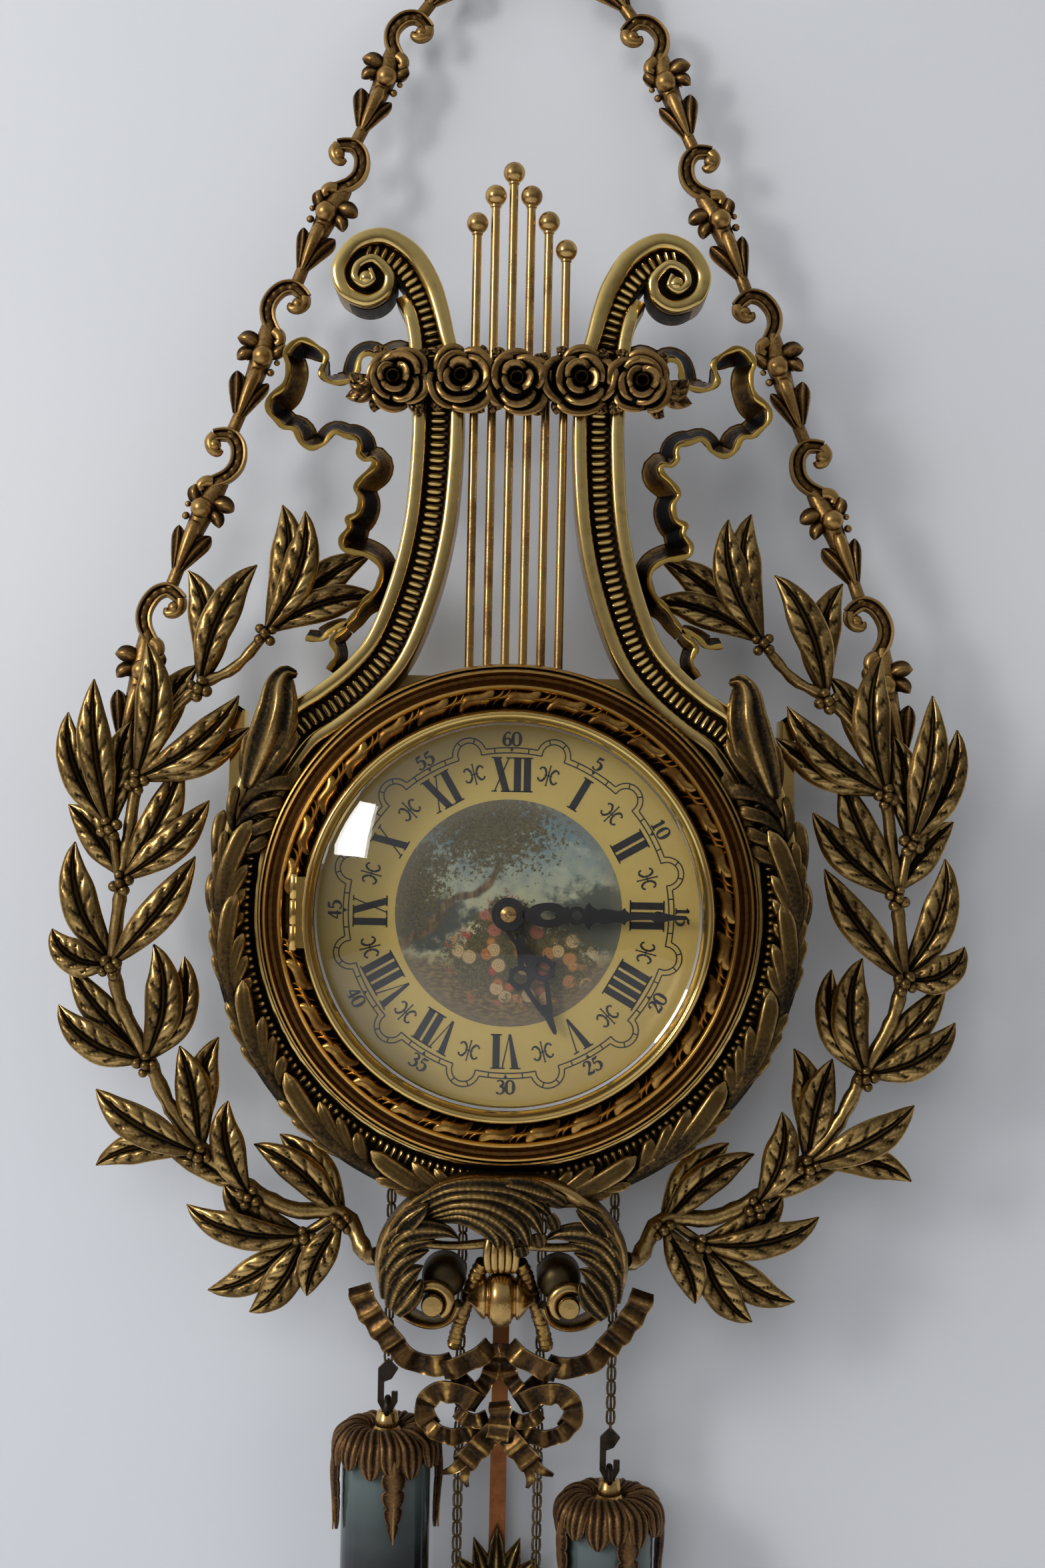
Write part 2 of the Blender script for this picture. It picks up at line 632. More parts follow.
# Runs the tree over one or more paths of (x, out, z) and gives back a plain mesh
def repeatAlong(name, paths, item, material, pitch, turn=0.0):
    points, edges = [], []
    for path in paths:
        start = len(points)
        points += [tuple(spot(*p)) for p in path]
        edges += [(start + i, start + i + 1) for i in range(len(path) - 1)]
    guide = bpy.data.meshes.new(name + " path")
    guide.from_pydata(points, edges, [])
    holder = bpy.data.objects.new(name + " path", guide)
    bpy.context.collection.objects.link(holder)
    pattern = bpy.data.objects.new(name + " item", item)
    bpy.context.collection.objects.link(pattern)
    modifier = holder.modifiers.new("copies", "NODES")
    modifier.node_group = copiesTree
    values = {"Item": pattern, "Pitch": pitch * mm, "Turn per copy": turn, "Finish": material}
    for socket in copiesTree.interface.items_tree:
        if socket.in_out == "INPUT" and socket.name in values:
            modifier[socket.identifier] = values[socket.name]
    bpy.context.view_layer.update()
    ready = holder.evaluated_get(bpy.context.evaluated_depsgraph_get())
    mesh = bpy.data.meshes.new_from_object(ready)
    mesh.name = name
    for leftover in (holder, pattern):
        bpy.data.objects.remove(leftover)
    return mesh


# Lyre: channelled arms with rolled volutes, joined by a bowl round the dial
lyre = {
    "back": 61.9, "front": 87.0, "halfWidth": 11.0, "channelHalf": 5.0, "floor": 81.6, "bowlRadius": 115.1,
    "arm": [(-36.0, 232), (-34.6, 214), (-35.2, 190), (-37.6, 165), (-43.2, 140), (-53, 114), (-64.5, 99),
            (-78, 87.5),
            (-92.5, 77), (-104.5, 58), (-111.5, 34)],
    "ribPitch": 3.4,
    # outer edge of the rolled rim: x, z, width of the rim, depth of its face
    "roll": [(-25.0, 226, 6.0, 87), (-25.6, 238, 6.2, 87), (-28.4, 249, 6.8, 87), (-31.2, 261, 7.4, 87),
             (-35.6, 273.5, 7.8, 87), (-44.6, 286.6, 7.8, 87), (-59, 293.8, 7.2, 87),
             (-73.4, 289.6, 6.8, 87),
             (-81.6, 277, 6.6, 87), (-78, 264.5, 6.4, 87.2), (-66, 259.2, 6, 87.6), (-56.4, 264.4, 5.4, 88),
             (-54.6, 274, 5, 88.4), (-62.6, 281.8, 4.4, 88.9), (-71, 278.6, 3.9, 89.3),
             (-73, 271.4, 3.5, 89.6),
             (-67.6, 266.8, 3.2, 89.9), (-62.2, 270, 2.8, 90.1), (-63.8, 275.4, 2.2, 90.3)],
    "sideRim": [(-47, 226), (-47.2, 236), (-48, 246), (-50.2, 256), (-54, 264)],
    "floorPath": [(-36, 226), (-36.4, 236), (-38.2, 248), (-41, 258), (-45, 268), (-51, 276.5), (-58, 282),
                  (-66, 284.5), (-73, 283)],
    "eye": (-66.4, 271.4, 3.4),
    "drum": 12.5,
}


# The unit direction to the right of a flat line at one of its points
def rightOf(line, i):
    ahead, behind = line[min(i + 1, len(line) - 1)], line[max(i - 1, 0)]
    dx, dz = ahead[0] - behind[0], ahead[1] - behind[1]
    long = math.hypot(dx, dz)
    return dz / long, -dx / long


def lyreFrame():
    casting = Casting()
    l = lyre
    h, c, front = l["halfWidth"], l["channelHalf"], l["front"]
    half = [(-h, l["back"], 0.5), (-h, front - 1.6, 0.62), (-h + 0.35, front - 0.5, 1),
            (-h + 1.3, front, 0.93),
            (-(h + c) / 2, front + 0.1, 0.9), (-c - 1.1, front - 0.1, 0.96), (-c - 0.25, front - 0.7, 1),
            (-c, front - 1.8, 0.5),
            (-c + 0.3, front - 4, 0.12), (-c + 1.2, l["floor"] + 0.4, 0.03), (0, l["floor"] - 0.2, 0.0)]
    section = half + [(-u, v, w) for u, v, w in half[-2::-1]]
    left = [(x, z) for x, z in lineThrough(l["arm"] + [(-l["bowlRadius"] * math.cos(math.radians(-4)), 8)],
            6)]
    left = left[:-1]
    bowl = [(-l["bowlRadius"] * math.cos(math.radians(a)), -l["bowlRadius"] * math.sin(math.radians(a)))
            for a in range(-4, 184 + 1, 4)]
    right = [(-x, z) for x, z in reversed(left)]
    track = left + bowl[1:-1] + right
    rows = []
    for i, (x, z) in enumerate(track):
        sx, sz = rightOf(track, i)
        rows.append([(spot(x + sx * u, v, z + sz * u), w) for u, v, w in section])
    casting.grid(rows)
    return casting, track


def voluteHalf():
    casting = Casting()
    l = lyre
    roll = lineThrough(l["roll"], 7)
    rows = []
    for i, (x, z, width, front) in enumerate(roll):
        outer = rightOf(roll, i)
        sx, sz = -outer[0], -outer[1]
        part = i / (len(roll) - 1)
        back = l["back"] + fade(0.5, 0.62, part) * 16
        section = [(0, back, 0.45), (0, front - 2.2, 0.6), (0.05, front - 0.8, 0.98),
                   (0.16, front - 0.15, 1),
                   (0.5, front + 0.1, 0.9), (0.82, front - 0.35, 0.92), (0.95, front - 1.1, 0.9),
                   (1, front - 2.6, 0.35),
                   (1, max(back, 78), 0.0), (0.9, back, 0.0)]
        rows.append([(spot(x + sx * u * width, v, z + sz * u * width), w) for u, v, w in section])
    casting.grid(rows)
    side = lineThrough([(x, z) for x, z in l["sideRim"]], 6)
    rows = []
    for i, (x, z) in enumerate(side):
        sx, sz = rightOf(side, i)
        drop = 5 * fade(0.72, 1, i / (len(side) - 1))
        front = l["front"] - drop
        section = [(0, l["back"], 0.5), (0, front - 1.6, 0.62), (0.35, front - 0.5, 1), (1.3, front, 0.93),
                   (3, front + 0.1, 0.9),
                   (4.7, front - 0.1, 0.96), (5.6, front - 0.7, 1), (5.9, front - 1.8, 0.5),
                   (6.2, l["back"], 0.0)]
        rows.append([(spot(x + sx * u, v, z + sz * u), w) for u, v, w in section])
    casting.grid(rows)
    middle = (l["back"] + l["floor"]) / 2
    deep = l["floor"] - l["back"]
    floor = [(x, middle, z, 11.5 - 4 * k / 60, deep) for k,
             (x, z) in enumerate(lineThrough(l["floorPath"], 7))]
    sweep(casting, floor, [(-0.5, -0.5, 0.1), (-0.5, 0.5, 0.05), (0.5, 0.5, 0.05), (0.5, -0.5, 0.1)])
    ex, ez, er = l["eye"]
    turned(casting, [(0.01, 64, 0.1), (l["drum"], 64, 0.2), (l["drum"], 82.2, 0.05), (0.01, 82.2, 0.0)], 40,
           ex, ez, closed=False)
    ball(casting, ex, 87.6, ez, er, 0.95, 20, flat=0.9)
    return casting


# One transverse rib of the channel, long side across the path
def channelRib():
    casting = Casting()
    rows = []
    for i in range(9):
        across = -1 + 2 * i / 8
        thick = math.sqrt(max(1 - across ** 2, 0)) ** 0.45
        ring = []
        for k in range(8):
            turn = 2 * math.pi * k / 8
            up = math.cos(turn)
            ring.append((Vector((math.sin(turn) * 1.45 * thick * mm, across * 4.1 * mm,
                    (up * 1.7 * thick) * mm)),
                         fade(0.1, 1, up) * (0.45 + 0.5 * thick)))
        rows.append(ring)
    casting.grid(rows, ends=False)
    return casting.mesh("rib", [])


def buildLyre():
    casting, track = lyreFrame()
    volute = voluteHalf()
    volute.mirror()
    casting.join(volute)
    mesh = casting.mesh("lyre", [lyreBrass], sharp=60)
    place("lyre_casting", mesh, "clock", "polished_brass", ["lyre_frame"])
    side = [(x, lyre["floor"] + 0.9, z) for x, z in reversed(lineThrough(lyre["floorPath"][:-1], 7))]
    path = side + [(x, lyre["floor"] + 0.9, z) for x, z in track[2:-2]] + [(-x, out, z) for x, out,
            z in reversed(side)]
    ribs = repeatAlong("channel ribs", [path], channelRib(), lyreBrass, lyre["ribPitch"])
    place("channel_ribs", ribs, "clock", "polished_brass")


buildLyre()
print("lyre ready")


# Strings
strings = {"radius": 1.9, "ball": 4.7, "spacing": 7.7, "out": 82, "foot": 103.6,
           "tops": [302, 314, 324, 314, 303, 291]}


def buildStrings():
    casting = Casting()
    s = strings
    for i, top in enumerate(s["tops"]):
        x = (i - 2.5) * s["spacing"]
        foot = math.sqrt(s["foot"] ** 2 - x * x)
        neck = top - 2 * s["ball"]
        r = s["radius"]
        turnedUpright(casting, [(0.01, foot, 0.5), (r, foot, 0.5), (r, (foot + neck) / 2, 0.8),
                (r, neck - 0.6, 0.8), (r * 1.25, neck - 0.2, 0.9),
                                (r * 1.25, neck + 0.8, 0.9), (0.01, neck + 1.2, 0.5)], x, s["out"], 20,
                                closed=False)
        ring = [(s["ball"] * math.sin(math.pi * k / 14) + (0.01 if k in (0, 14) else 0),
                 top - s["ball"] + s["ball"] * math.cos(math.pi * k / 14), 0.8) for k in range(15)]
        turnedUpright(casting, ring, x, s["out"], 28, closed=False)
    place("string_rods", casting.mesh("strings", [rodBrass], 40), "clock", "polished_brass",
          ["string_rod_%d" % k for k in range(1, 7)])


buildStrings()


# Surround: turned mouldings with a twisted rope let into them
surround = {
    # radius, out and wear, from the bore over the front to the back
    "profile": [(83.2, 80.6, 0.3), (83.2, 100.4, 0.5), (84, 101.8, 0.8), (85.4, 102.9, 0.9),
                (86.9, 103.0, 1), (87.6, 102.2, 0.6),
                (88.0, 99.8, 0.05), (89.6, 98.8, 0.0), (92, 98.6, 0.0), (94.4, 99.2, 0.0),
                (95.3, 100.6, 0.3), (95.8, 102.0, 0.9),
                (96.6, 102.5, 1), (97.5, 102.0, 0.85), (98, 100.4, 0.45), (99, 98.2, 0.4),
                (100.4, 96.9, 0.42), (101.8, 96.9, 0.45),
                (102.6, 97.8, 0.7), (103.2, 98.5, 1), (104, 98.3, 0.9), (104.5, 97.2, 0.5),
                (104.7, 95.6, 0.1), (105.1, 94.9, 0.1),
                (105.6, 95.2, 0.7), (106.3, 95.0, 1), (106.9, 93.9, 0.95), (107.1, 92.2, 0.75),
                (106.9, 89.4, 0.55), (106.2, 87.9, 0.3),
                (103, 87.5, 0.1), (103, 76, 0.2), (86.8, 76, 0.1), (86.8, 80.6, 0.1)],
    "ropeRadius": 92.0, "ropeOut": 99.8, "repeats": 31, "slotHalf": 17, "slotOuter": -94.6,
    "slotInner": -82,
}


# One repeat of the twisted band: a smooth swell laid slanting, then three thin reeds with dark grooves
# between them
def bandRepeat():
    casting = Casting()
    lean = math.radians(33)
    for shift, length, width, height, top, low, curl in ((-6.2, 17.5, 7.4, 5.4, 0.78, -0.7, 1.8),
            (-0.4, 15.0, 2.4, 5.0, 1.0, -0.3, 1.4),
                                                         (2.7, 14.5, 2.3, 4.8, 1.0, -0.3, 1.3),
                                                         (5.6, 13.5, 2.1, 4.4, 1.0, -0.3, 1.2)):
        rows = []
        for i in range(15):
            t = i / 14
            body = math.sin(math.pi * min(t * 0.9 + 0.05, 1)) ** 0.5
            bend = curl * math.sin(2 * math.pi * t)
            along = (t - 0.5) * length
            ring = []
            for k in range(10):
                turn = 2 * math.pi * k / 10
                across = math.sin(turn) * width / 2 * body + bend
                up = math.cos(turn) * height / 2 * body
                x = along * math.cos(lean) - across * math.sin(lean) + shift
                y = along * math.sin(lean) + across * math.cos(lean)
                wear = top * fade(low, 0.95, math.cos(turn)) * (0.45 + 0.55 * fade(0.1, 0.7, t))
                ring.append((Vector((x * mm, y * mm, (up + 0.2) * mm)), wear))
            rows.append(ring)
        casting.grid(rows, ends=False)
    return casting.mesh("band repeat", [])


def buildSurround():
    s = surround
    casting = Casting()
    turned(casting, s["profile"], 192)
    mesh = casting.mesh("surround", [mouldingBrass], 60)
    piece = bpy.data.objects.new("surround", mesh)
    bpy.context.collection.objects.link(piece)
    tool = Casting()
    x0, x1, z = s["slotOuter"], s["slotInner"], s["slotHalf"]
    plate(tool, [[(x0, -z), (x1, -z), (x1, z), (x0, z)]], 97.2, 108)
    cutter = bpy.data.objects.new("slot tool", tool.mesh("slot tool", [mouldingBrass]))
    bpy.context.collection.objects.link(cutter)
    cut = piece.modifiers.new("hinge slot", "BOOLEAN")
    cut.object, cut.operation, cut.solver = cutter, "DIFFERENCE", "EXACT"
    bpy.context.view_layer.update()
    ready = bpy.data.meshes.new_from_object(piece.evaluated_get(bpy.context.evaluated_depsgraph_get()))
    bpy.data.objects.remove(piece)
    bpy.data.objects.remove(cutter)
    ready.set_sharp_from_angle(angle=math.radians(40))
    place("dial_mouldings", ready, "clock", "gilt_bronze", ["dial_surround"])
    gap = math.degrees(math.asin(s["slotHalf"] / s["ropeRadius"])) + 2.2
    arc = [(s["ropeRadius"] * math.sin(math.radians(a)), s["ropeOut"],
            s["ropeRadius"] * math.cos(math.radians(a)))
           for a in [-90 + gap + (360 - 2 * gap) * k / 180 for k in range(181)]]
    pitch = 2 * math.pi * s["ropeRadius"] / s["repeats"]
    rope = repeatAlong("rope moulding", [arc], bandRepeat(), mouldingBrass, pitch)
    place("rope_moulding", rope, "clock", "gilt_bronze")


buildSurround()
print("surround ready")


# Glass door: polished ring, its hinge barrel and the domed glass
door = {
    "profile": [(82, 103.4, 0.5), (82, 105.4, 0.8), (82.5, 106.9, 0.9), (83.4, 108.6, 1), (84.2, 109.7, 1),
                (84.9, 110, 1), (85.7, 109.7, 1),
                (86.3, 108.7, 1), (86.5, 107.2, 0.9), (86.5, 103.4, 0.5)],
    "hinge": (-90.6, 101.0, 2.2, 16.0), "domeRim": 81.6, "domeEdge": 104.2, "domeRise": 17.8, "glass": 2.0,
}


def buildDoor():
    d = door
    casting = Casting()
    turned(casting, d["profile"], 192)
    x, out, radius, half = d["hinge"]
    for low, high in ((-half, -half / 3 - 0.3), (-half / 3 + 0.2, half / 3 - 0.2), (half / 3 + 0.3, half)):
        turnedUpright(casting, [(1.1, low, 0.5), (radius - 0.3, low, 0.9), (radius, low + 0.4, 1),
                (radius, high - 0.4, 1), (radius - 0.3, high, 0.9), (1.1, high, 0.5)], x, out, 20)
    plate(casting, [[(x + 1.2, -half + 1), (-82.6, -half + 1), (-82.6, half - 1), (x + 1.2, half - 1)]],
          102.2, 103.6)
    place("glass_ring", casting.mesh("glass ring", [polishedBrass], 50), "glass_door", "polished_brass",
          ["bezel_ring"])
    rim, rise, wall = d["domeRim"], d["domeRise"], d["glass"]
    sphere = (rim * rim + rise * rise) / (2 * rise)
    centre = d["domeEdge"] + rise - sphere
    reach = math.asin(rim / sphere)
    arc = [reach * k / 20 for k in range(21)]
    outer = [(max(sphere * math.sin(a), 0.01), centre + sphere * math.cos(a), 1) for a in arc]
    inside = sphere - wall
    inner = [(max(inside * math.sin(a) * 0.995, 0.01), centre + inside * math.cos(a),
              1) for a in reversed(arc)]
    glass = Casting()
    turned(glass, outer + inner, 128, closed=False)
    place("domed_glass", glass.mesh("domed glass", [clearGlass], 50), "glass_door", "clear_glass",
          ["dome_glass"])


buildDoor()
print("glass door ready")


# Evenly spaced points along a smooth line through hand-placed ones
def evenly(points, count, loop=False):
    dense = lineThrough(points, 10, loop)
    if loop:
        dense = dense + [dense[0]]
    lengths = [0.0]
    for a, b in zip(dense, dense[1:]):
        lengths.append(lengths[-1] + math.dist(a[:3], b[:3]))
    out, k = [], 0
    for i in range(count + (0 if loop else 1)):
        goal = lengths[-1] * i / count
        while k < len(dense) - 2 and lengths[k + 1] < goal:
            k += 1
        span = max(lengths[k + 1] - lengths[k], 1e-9)
        t = (goal - lengths[k]) / span
        out.append(tuple(p + (q - p) * t for p, q in zip(dense[k], dense[k + 1])))
    return out


# At each point of a path: the place, the direction to its side and the direction out of it
def framesAlong(points, facing=roomward, loop=False):
    spots = [spot(*p[:3]) for p in points]
    out = []
    for i, here in enumerate(spots):
        ahead = spots[(i + 1) % len(spots)] if loop else spots[min(i + 1, len(spots) - 1)]
        behind = spots[i - 1] if loop or i else spots[0]
        along = (ahead - behind).normalized()
        side = along.cross(facing).normalized()
        out.append((here, side, side.cross(along)))
    return out


# A point so far across and so far out from such a place
def beside(at, across, up):
    here, side, front = at
    return here + side * (across * mm) + front * (up * mm)


# A carved leaf that follows a line of (x, out, z): its blade fluted or scooped, its edge in lobes
def carvedLeaf(casting, line, width, thick=2.0, flutes=3, relief=0.8, camber=1.5, lobes=0, notch=0.3,
               steps=24, across=12,
               base=0.4, widest=0.45, tip=1.0, scoop=0.0, beads=0, bright=1.0, facing=roomward):
    path = evenly(line, steps)
    rows = []
    for i, at in enumerate(framesAlong(path, facing)):
        t = i / steps
        body = base + (1 - base) * math.sin(min(t / widest, 1) * math.pi / 2)
        body *= max(math.cos(max((t - widest) / (1 - widest), 0) * math.pi / 2), 0.03) ** tip
        edge = body
        if lobes:
            s = (t * lobes) % 1
            edge *= 1 - notch * (1 - math.sin(math.pi * min(s ** 0.75, 1)) ** 0.5)
        swell = fade(0, 0.1, t + 0.04) * (0.35 + 0.65 * body)
        ring = []
        for k in range(across + 1):
            u = -1 + 2 * k / across
            crest = 0.5 + 0.5 * math.cos(math.pi * (flutes - 1) * u)
            hollow = u * u
            rise = camber * (1 - u * u) * (1 - scoop) + relief * crest * (1 - abs(u) ** 8) * (1 - scoop)
            rise += scoop * relief * 2.2 * hollow * (1 - 0.5 * abs(u) ** 10)
            wear = (0.16 + 0.7 * crest ** 1.4) * (1 - scoop) + scoop * (0.02 + 0.98 * abs(u) ** 3)
            if beads:
                bead = 0.5 + 0.5 * math.cos(2 * math.pi * beads * t)
                rise += 0.22 * crest * (bead - 0.5)
                wear *= 0.72 + 0.28 * bead
            wear = max(wear, 0.9 * fade(0.84, 1.0, abs(u)))
            ring.append((beside(at, u * edge * width / 2, rise * swell), wear * bright))
        for u in (0.86, 0, -0.86):
            ring.append((beside(at, u * edge * width / 2, -thick * swell), 0.25))
        rows.append(ring)
    casting.grid(rows)


# A tube with its own radius at each point of (x, out, z, radius)
def tube(casting, line, steps=24, sides=10, wear=0.55, top=0.95, knots=0, loop=False, kind=0):
    path = evenly(line, steps, loop)
    rows = []
    for i, at in enumerate(framesAlong(path, loop=loop)):
        radius = path[i][3] * (1 + (0.09 * math.sin(i * 2.1) + 0.07 * math.sin(i * 3.7) if knots else 0))
        ring = []
        for k in range(sides):
            turn = 2 * math.pi * k / sides
            up = math.cos(turn)
            ring.append((beside(at, math.sin(turn) * radius, up * radius), wear + (top - wear) * fade(-0.2,
                    1, up)))
        rows.append(ring)
    casting.grid(rows, loop=loop, kind=kind)


# Brass horns that stand behind the acanthus beside the bowl
horns = {"edge": 123.0, "back": 36, "front": 56, "width": 6.0, "foot": -20, "top": 87}


def buildHorns():
    h = horns
    casting = Casting()
    deep = h["front"] - h["back"]
    middle = (h["back"] + h["front"]) / 2
    section = [(-0.5, -0.5, 0.5), (-0.5, 0.44, 0.7), (-0.42, 0.5, 1), (0.42, 0.5, 1), (0.5, 0.44, 0.7),
               (0.5, -0.5, 0.5)]
    line = [(-h["edge"], h["foot"]), (-h["edge"], 10), (-h["edge"] - 0.1, 45),
            (-h["edge"] + 0.2, h["top"] - 5), (-h["edge"] + 0.6, h["top"])]
    stations = [(x, middle, z, h["width"], deep) for x, z in lineThrough(line, 4)]
    sweep(casting, stations, section)
    plate(casting, [[(-h["edge"] - 3, h["foot"]), (-h["edge"] + 3, h["foot"]), (-h["edge"] + 3, 0),
                     (-h["edge"] - 3, 0)]], h["front"] - 1, 62.5)
    casting.mirror()
    place("brass_horns", casting.mesh("horns", [polishedBrass]), "clock", "polished_brass")


buildHorns()


# Laurel branches
laurel = {
    "reach": 206, "out": 58, "leafLength": 50, "leafWidth": 16, "depth": 3.2, "levelStep": 4, "berry": 2.5,
    "veins": 5,
    "stem": [(-53.3, 76), (-60, 66)], "stemRadius": (3.9, 2.3),
    "route": [(-0.345, -0.66), (-0.45, -0.655), (-0.545, -0.61), (-0.654, -0.525), (-0.72, -0.44),
              (-0.773, -0.33), (-0.83, -0.22),
              (-0.848, -0.12), (-0.835, 0.04), (-0.82, 0.16), (-0.804, 0.26), (-0.75, 0.39),
              (-0.674, 0.469), (-0.6, 0.51), (-0.533, 0.588)],
    "twigs": [[(-0.36, -0.662), (-0.423, -0.705)], [(-0.836, 0.03), (-0.859, 0.165)]],
    # twig ends, each with its leaves: bearing clockwise from upright and length share
    "sprigs": [
        ((-0.345, -0.671), [(-35, 0.92), (-47, 1.02), (-153, 0.74)]),
        ((-0.423, -0.705), [(-67, 0.84), (-81, 1.08), (-126, 1.03), (-150, 0.86)]),
        ((-0.545, -0.619), [(-19, 0.84), (-62, 0.86)]),
        ((-0.654, -0.533), [(3, 1.01), (-10, 0.95), (-62, 1.07), (-94, 0.95)]),
        ((-0.773, -0.339), [(25, 0.97), (9, 1.03), (-43, 1.1), (-65, 0.92)]),
        ((-0.852, -0.133), [(39, 1.21), (-24, 1.13), (-70, 0.61)]),
        ((-0.832, 0.05), [(-36, 0.83), (28, 1.16), (50, 1.04)]),
        ((-0.859, 0.165), [(-27, 1.07), (-9, 1.3), (6, 0.94)]),
        ((-0.804, 0.266), [(8, 1.2), (22, 1.14), (67, 1.08), (54, 1.16)]),
        ((-0.674, 0.469), [(-2, 1.03), (20, 1.18)]),
        ((-0.533, 0.588), [(11, 1.13), (22, 1.11), (49, 1.16), (68, 1.04)]),
    ],
}


# One laurel leaf: two rounded halves beside a raised midrib, cut by short slanting veins; its tip is
# drawn out and curls
def laurelLeaf(casting, x, out, z, bearing, length, width, depth, bend, lift, veins=5, steps=34, across=16):
    a = math.radians(bearing)
    dx, dz, nx, nz = math.sin(a), math.cos(a), math.cos(a), -math.sin(a)
    line = []
    for t, b, o in ((0, 0, 0), (0.2, 0.5, 0.6), (0.45, 0.8, 1.0), (0.7, 0.45, 0.8), (0.88, -0.3, 0.3),
                    (1, -1.1, -0.4)):
        line.append((x + dx * length * t + nx * bend * b, out + lift * o,
                     z + dz * length * t + nz * bend * b))
    path = evenly(line, steps)
    rows = []
    for i, at in enumerate(framesAlong(path)):
        t = i / steps
        body = 0.16 + 0.84 * math.sin(math.pi / 2 * min(t / 0.5, 1)) ** 1.1
        if t > 0.5:
            body = max(math.cos(math.pi / 2 * ((t - 0.5) / 0.5) ** 1.35) ** 0.9,
                       0.05) * (1 - 0.12 * bump(t, 0.84, 0.14))
        wave = 1 + 0.05 * math.sin(9 * t + bend)
        ring = []
        for k in range(across + 1):
            u = -1 + 2 * k / across
            v = abs(u)
            half = width / 2 * body * (wave if u > 0 else 2 - wave)
            plump = math.sin(math.pi * min(v * 0.8 + 0.14, 1)) ** 0.8 * (1 - fade(0.88, 1.0, v) * 0.7)
            rib = bump(u, 0, 0.09)
            groove = max(bump(v, 0.13, 0.07) - rib, 0)
            phase = (t * (veins + 1.2) - v * 1.1 - (0.3 if u > 0 else 0)) % 1
            cut = bump(phase, 0.5, 0.1) * fade(0.12, 0.22, v) * (1 - fade(0.6, 0.8, v))
            cut = cut * fade(0.14, 0.24, t) * (1 - fade(0.8, 0.88, t))
            rise = depth * body * (0.2 + 0.8 * plump) - depth * 0.5 * groove * body
            rise += 0.1 * depth * rib
            rise -= 1.3 * cut
            wear = 0.2 + 0.62 * plump + 0.15 * math.sin(5 * t + 3 * u + bend) * plump
            wear = max(wear, 0.9 * fade(0.9, 1.0, v), 0.62 * rib) * (1 - 0.95 * groove) * (1 - 0.95 * cut)
            wear *= 0.5 + 0.5 * fade(0.0, 0.3, t)
            ring.append((beside(at, u * half, rise), wear))
        for u in (0.8, 0, -0.8):
            ring.append((beside(at, u * width / 2 * body, -1.5 * body), 0.2))
        rows.append(ring)
    casting.grid(rows)


def buildLaurel():
    l = laurel
    r = l["reach"]
    chance = random.Random(11)
    casting = Casting()
    thick, thin = l["stemRadius"]
    route = [(x, out, -150 - 1.5 * k, thick) for k, (x, out) in enumerate(l["stem"])]
    count = len(l["route"])
    route += [(x * r, l["out"], z * r, thick + (thin - thick) * k / (count - 1)) for k,
              (x, z) in enumerate(l["route"])]
    tube(casting, route, 90, 12, 0.3, 0.8, knots=1)
    for twig in l["twigs"]:
        (x0, z0), (x1, z1) = twig
        tube(casting, [(x0 * r, l["out"], z0 * r, 2.2), ((x0 + x1) / 2 * r, l["out"] + 1, (z0 + z1) / 2 * r,
                2.2), (x1 * r, l["out"], z1 * r, 2.2)], 8, 8, 0.3, 0.8)
    for i, ((x, z), fan) in enumerate(l["sprigs"]):
        for k, (bearing, share) in enumerate(fan):
            level = l["out"] + ((i + k) % 3 - 1) * l["levelStep"]
            laurelLeaf(casting, x * r, level, z * r, bearing, share * l["leafLength"],
                       l["leafWidth"] * chance.uniform(0.94, 1.08), l["depth"],
                       chance.choice((-1, 1)) * chance.uniform(1.5, 5.0), chance.uniform(0.5, 4.0),
                       l["veins"])
        turn = chance.uniform(0, 6.28)
        for k in range(5):
            reach = 3.6 if k else 0.4
            ball(casting, x * r + reach * math.sin(turn + k * 1.5), l["out"] + (6.4 if k == 0 else 4.8),
                 z * r + reach * math.cos(turn + k * 1.5) - 1.5, l["berry"] * chance.uniform(0.85, 1.1),
                 0.62, 12)
    placePair("laurel", casting, giltBronze, "gilt_bronze", "laurel_branch")


buildLaurel()
print("laurel ready")


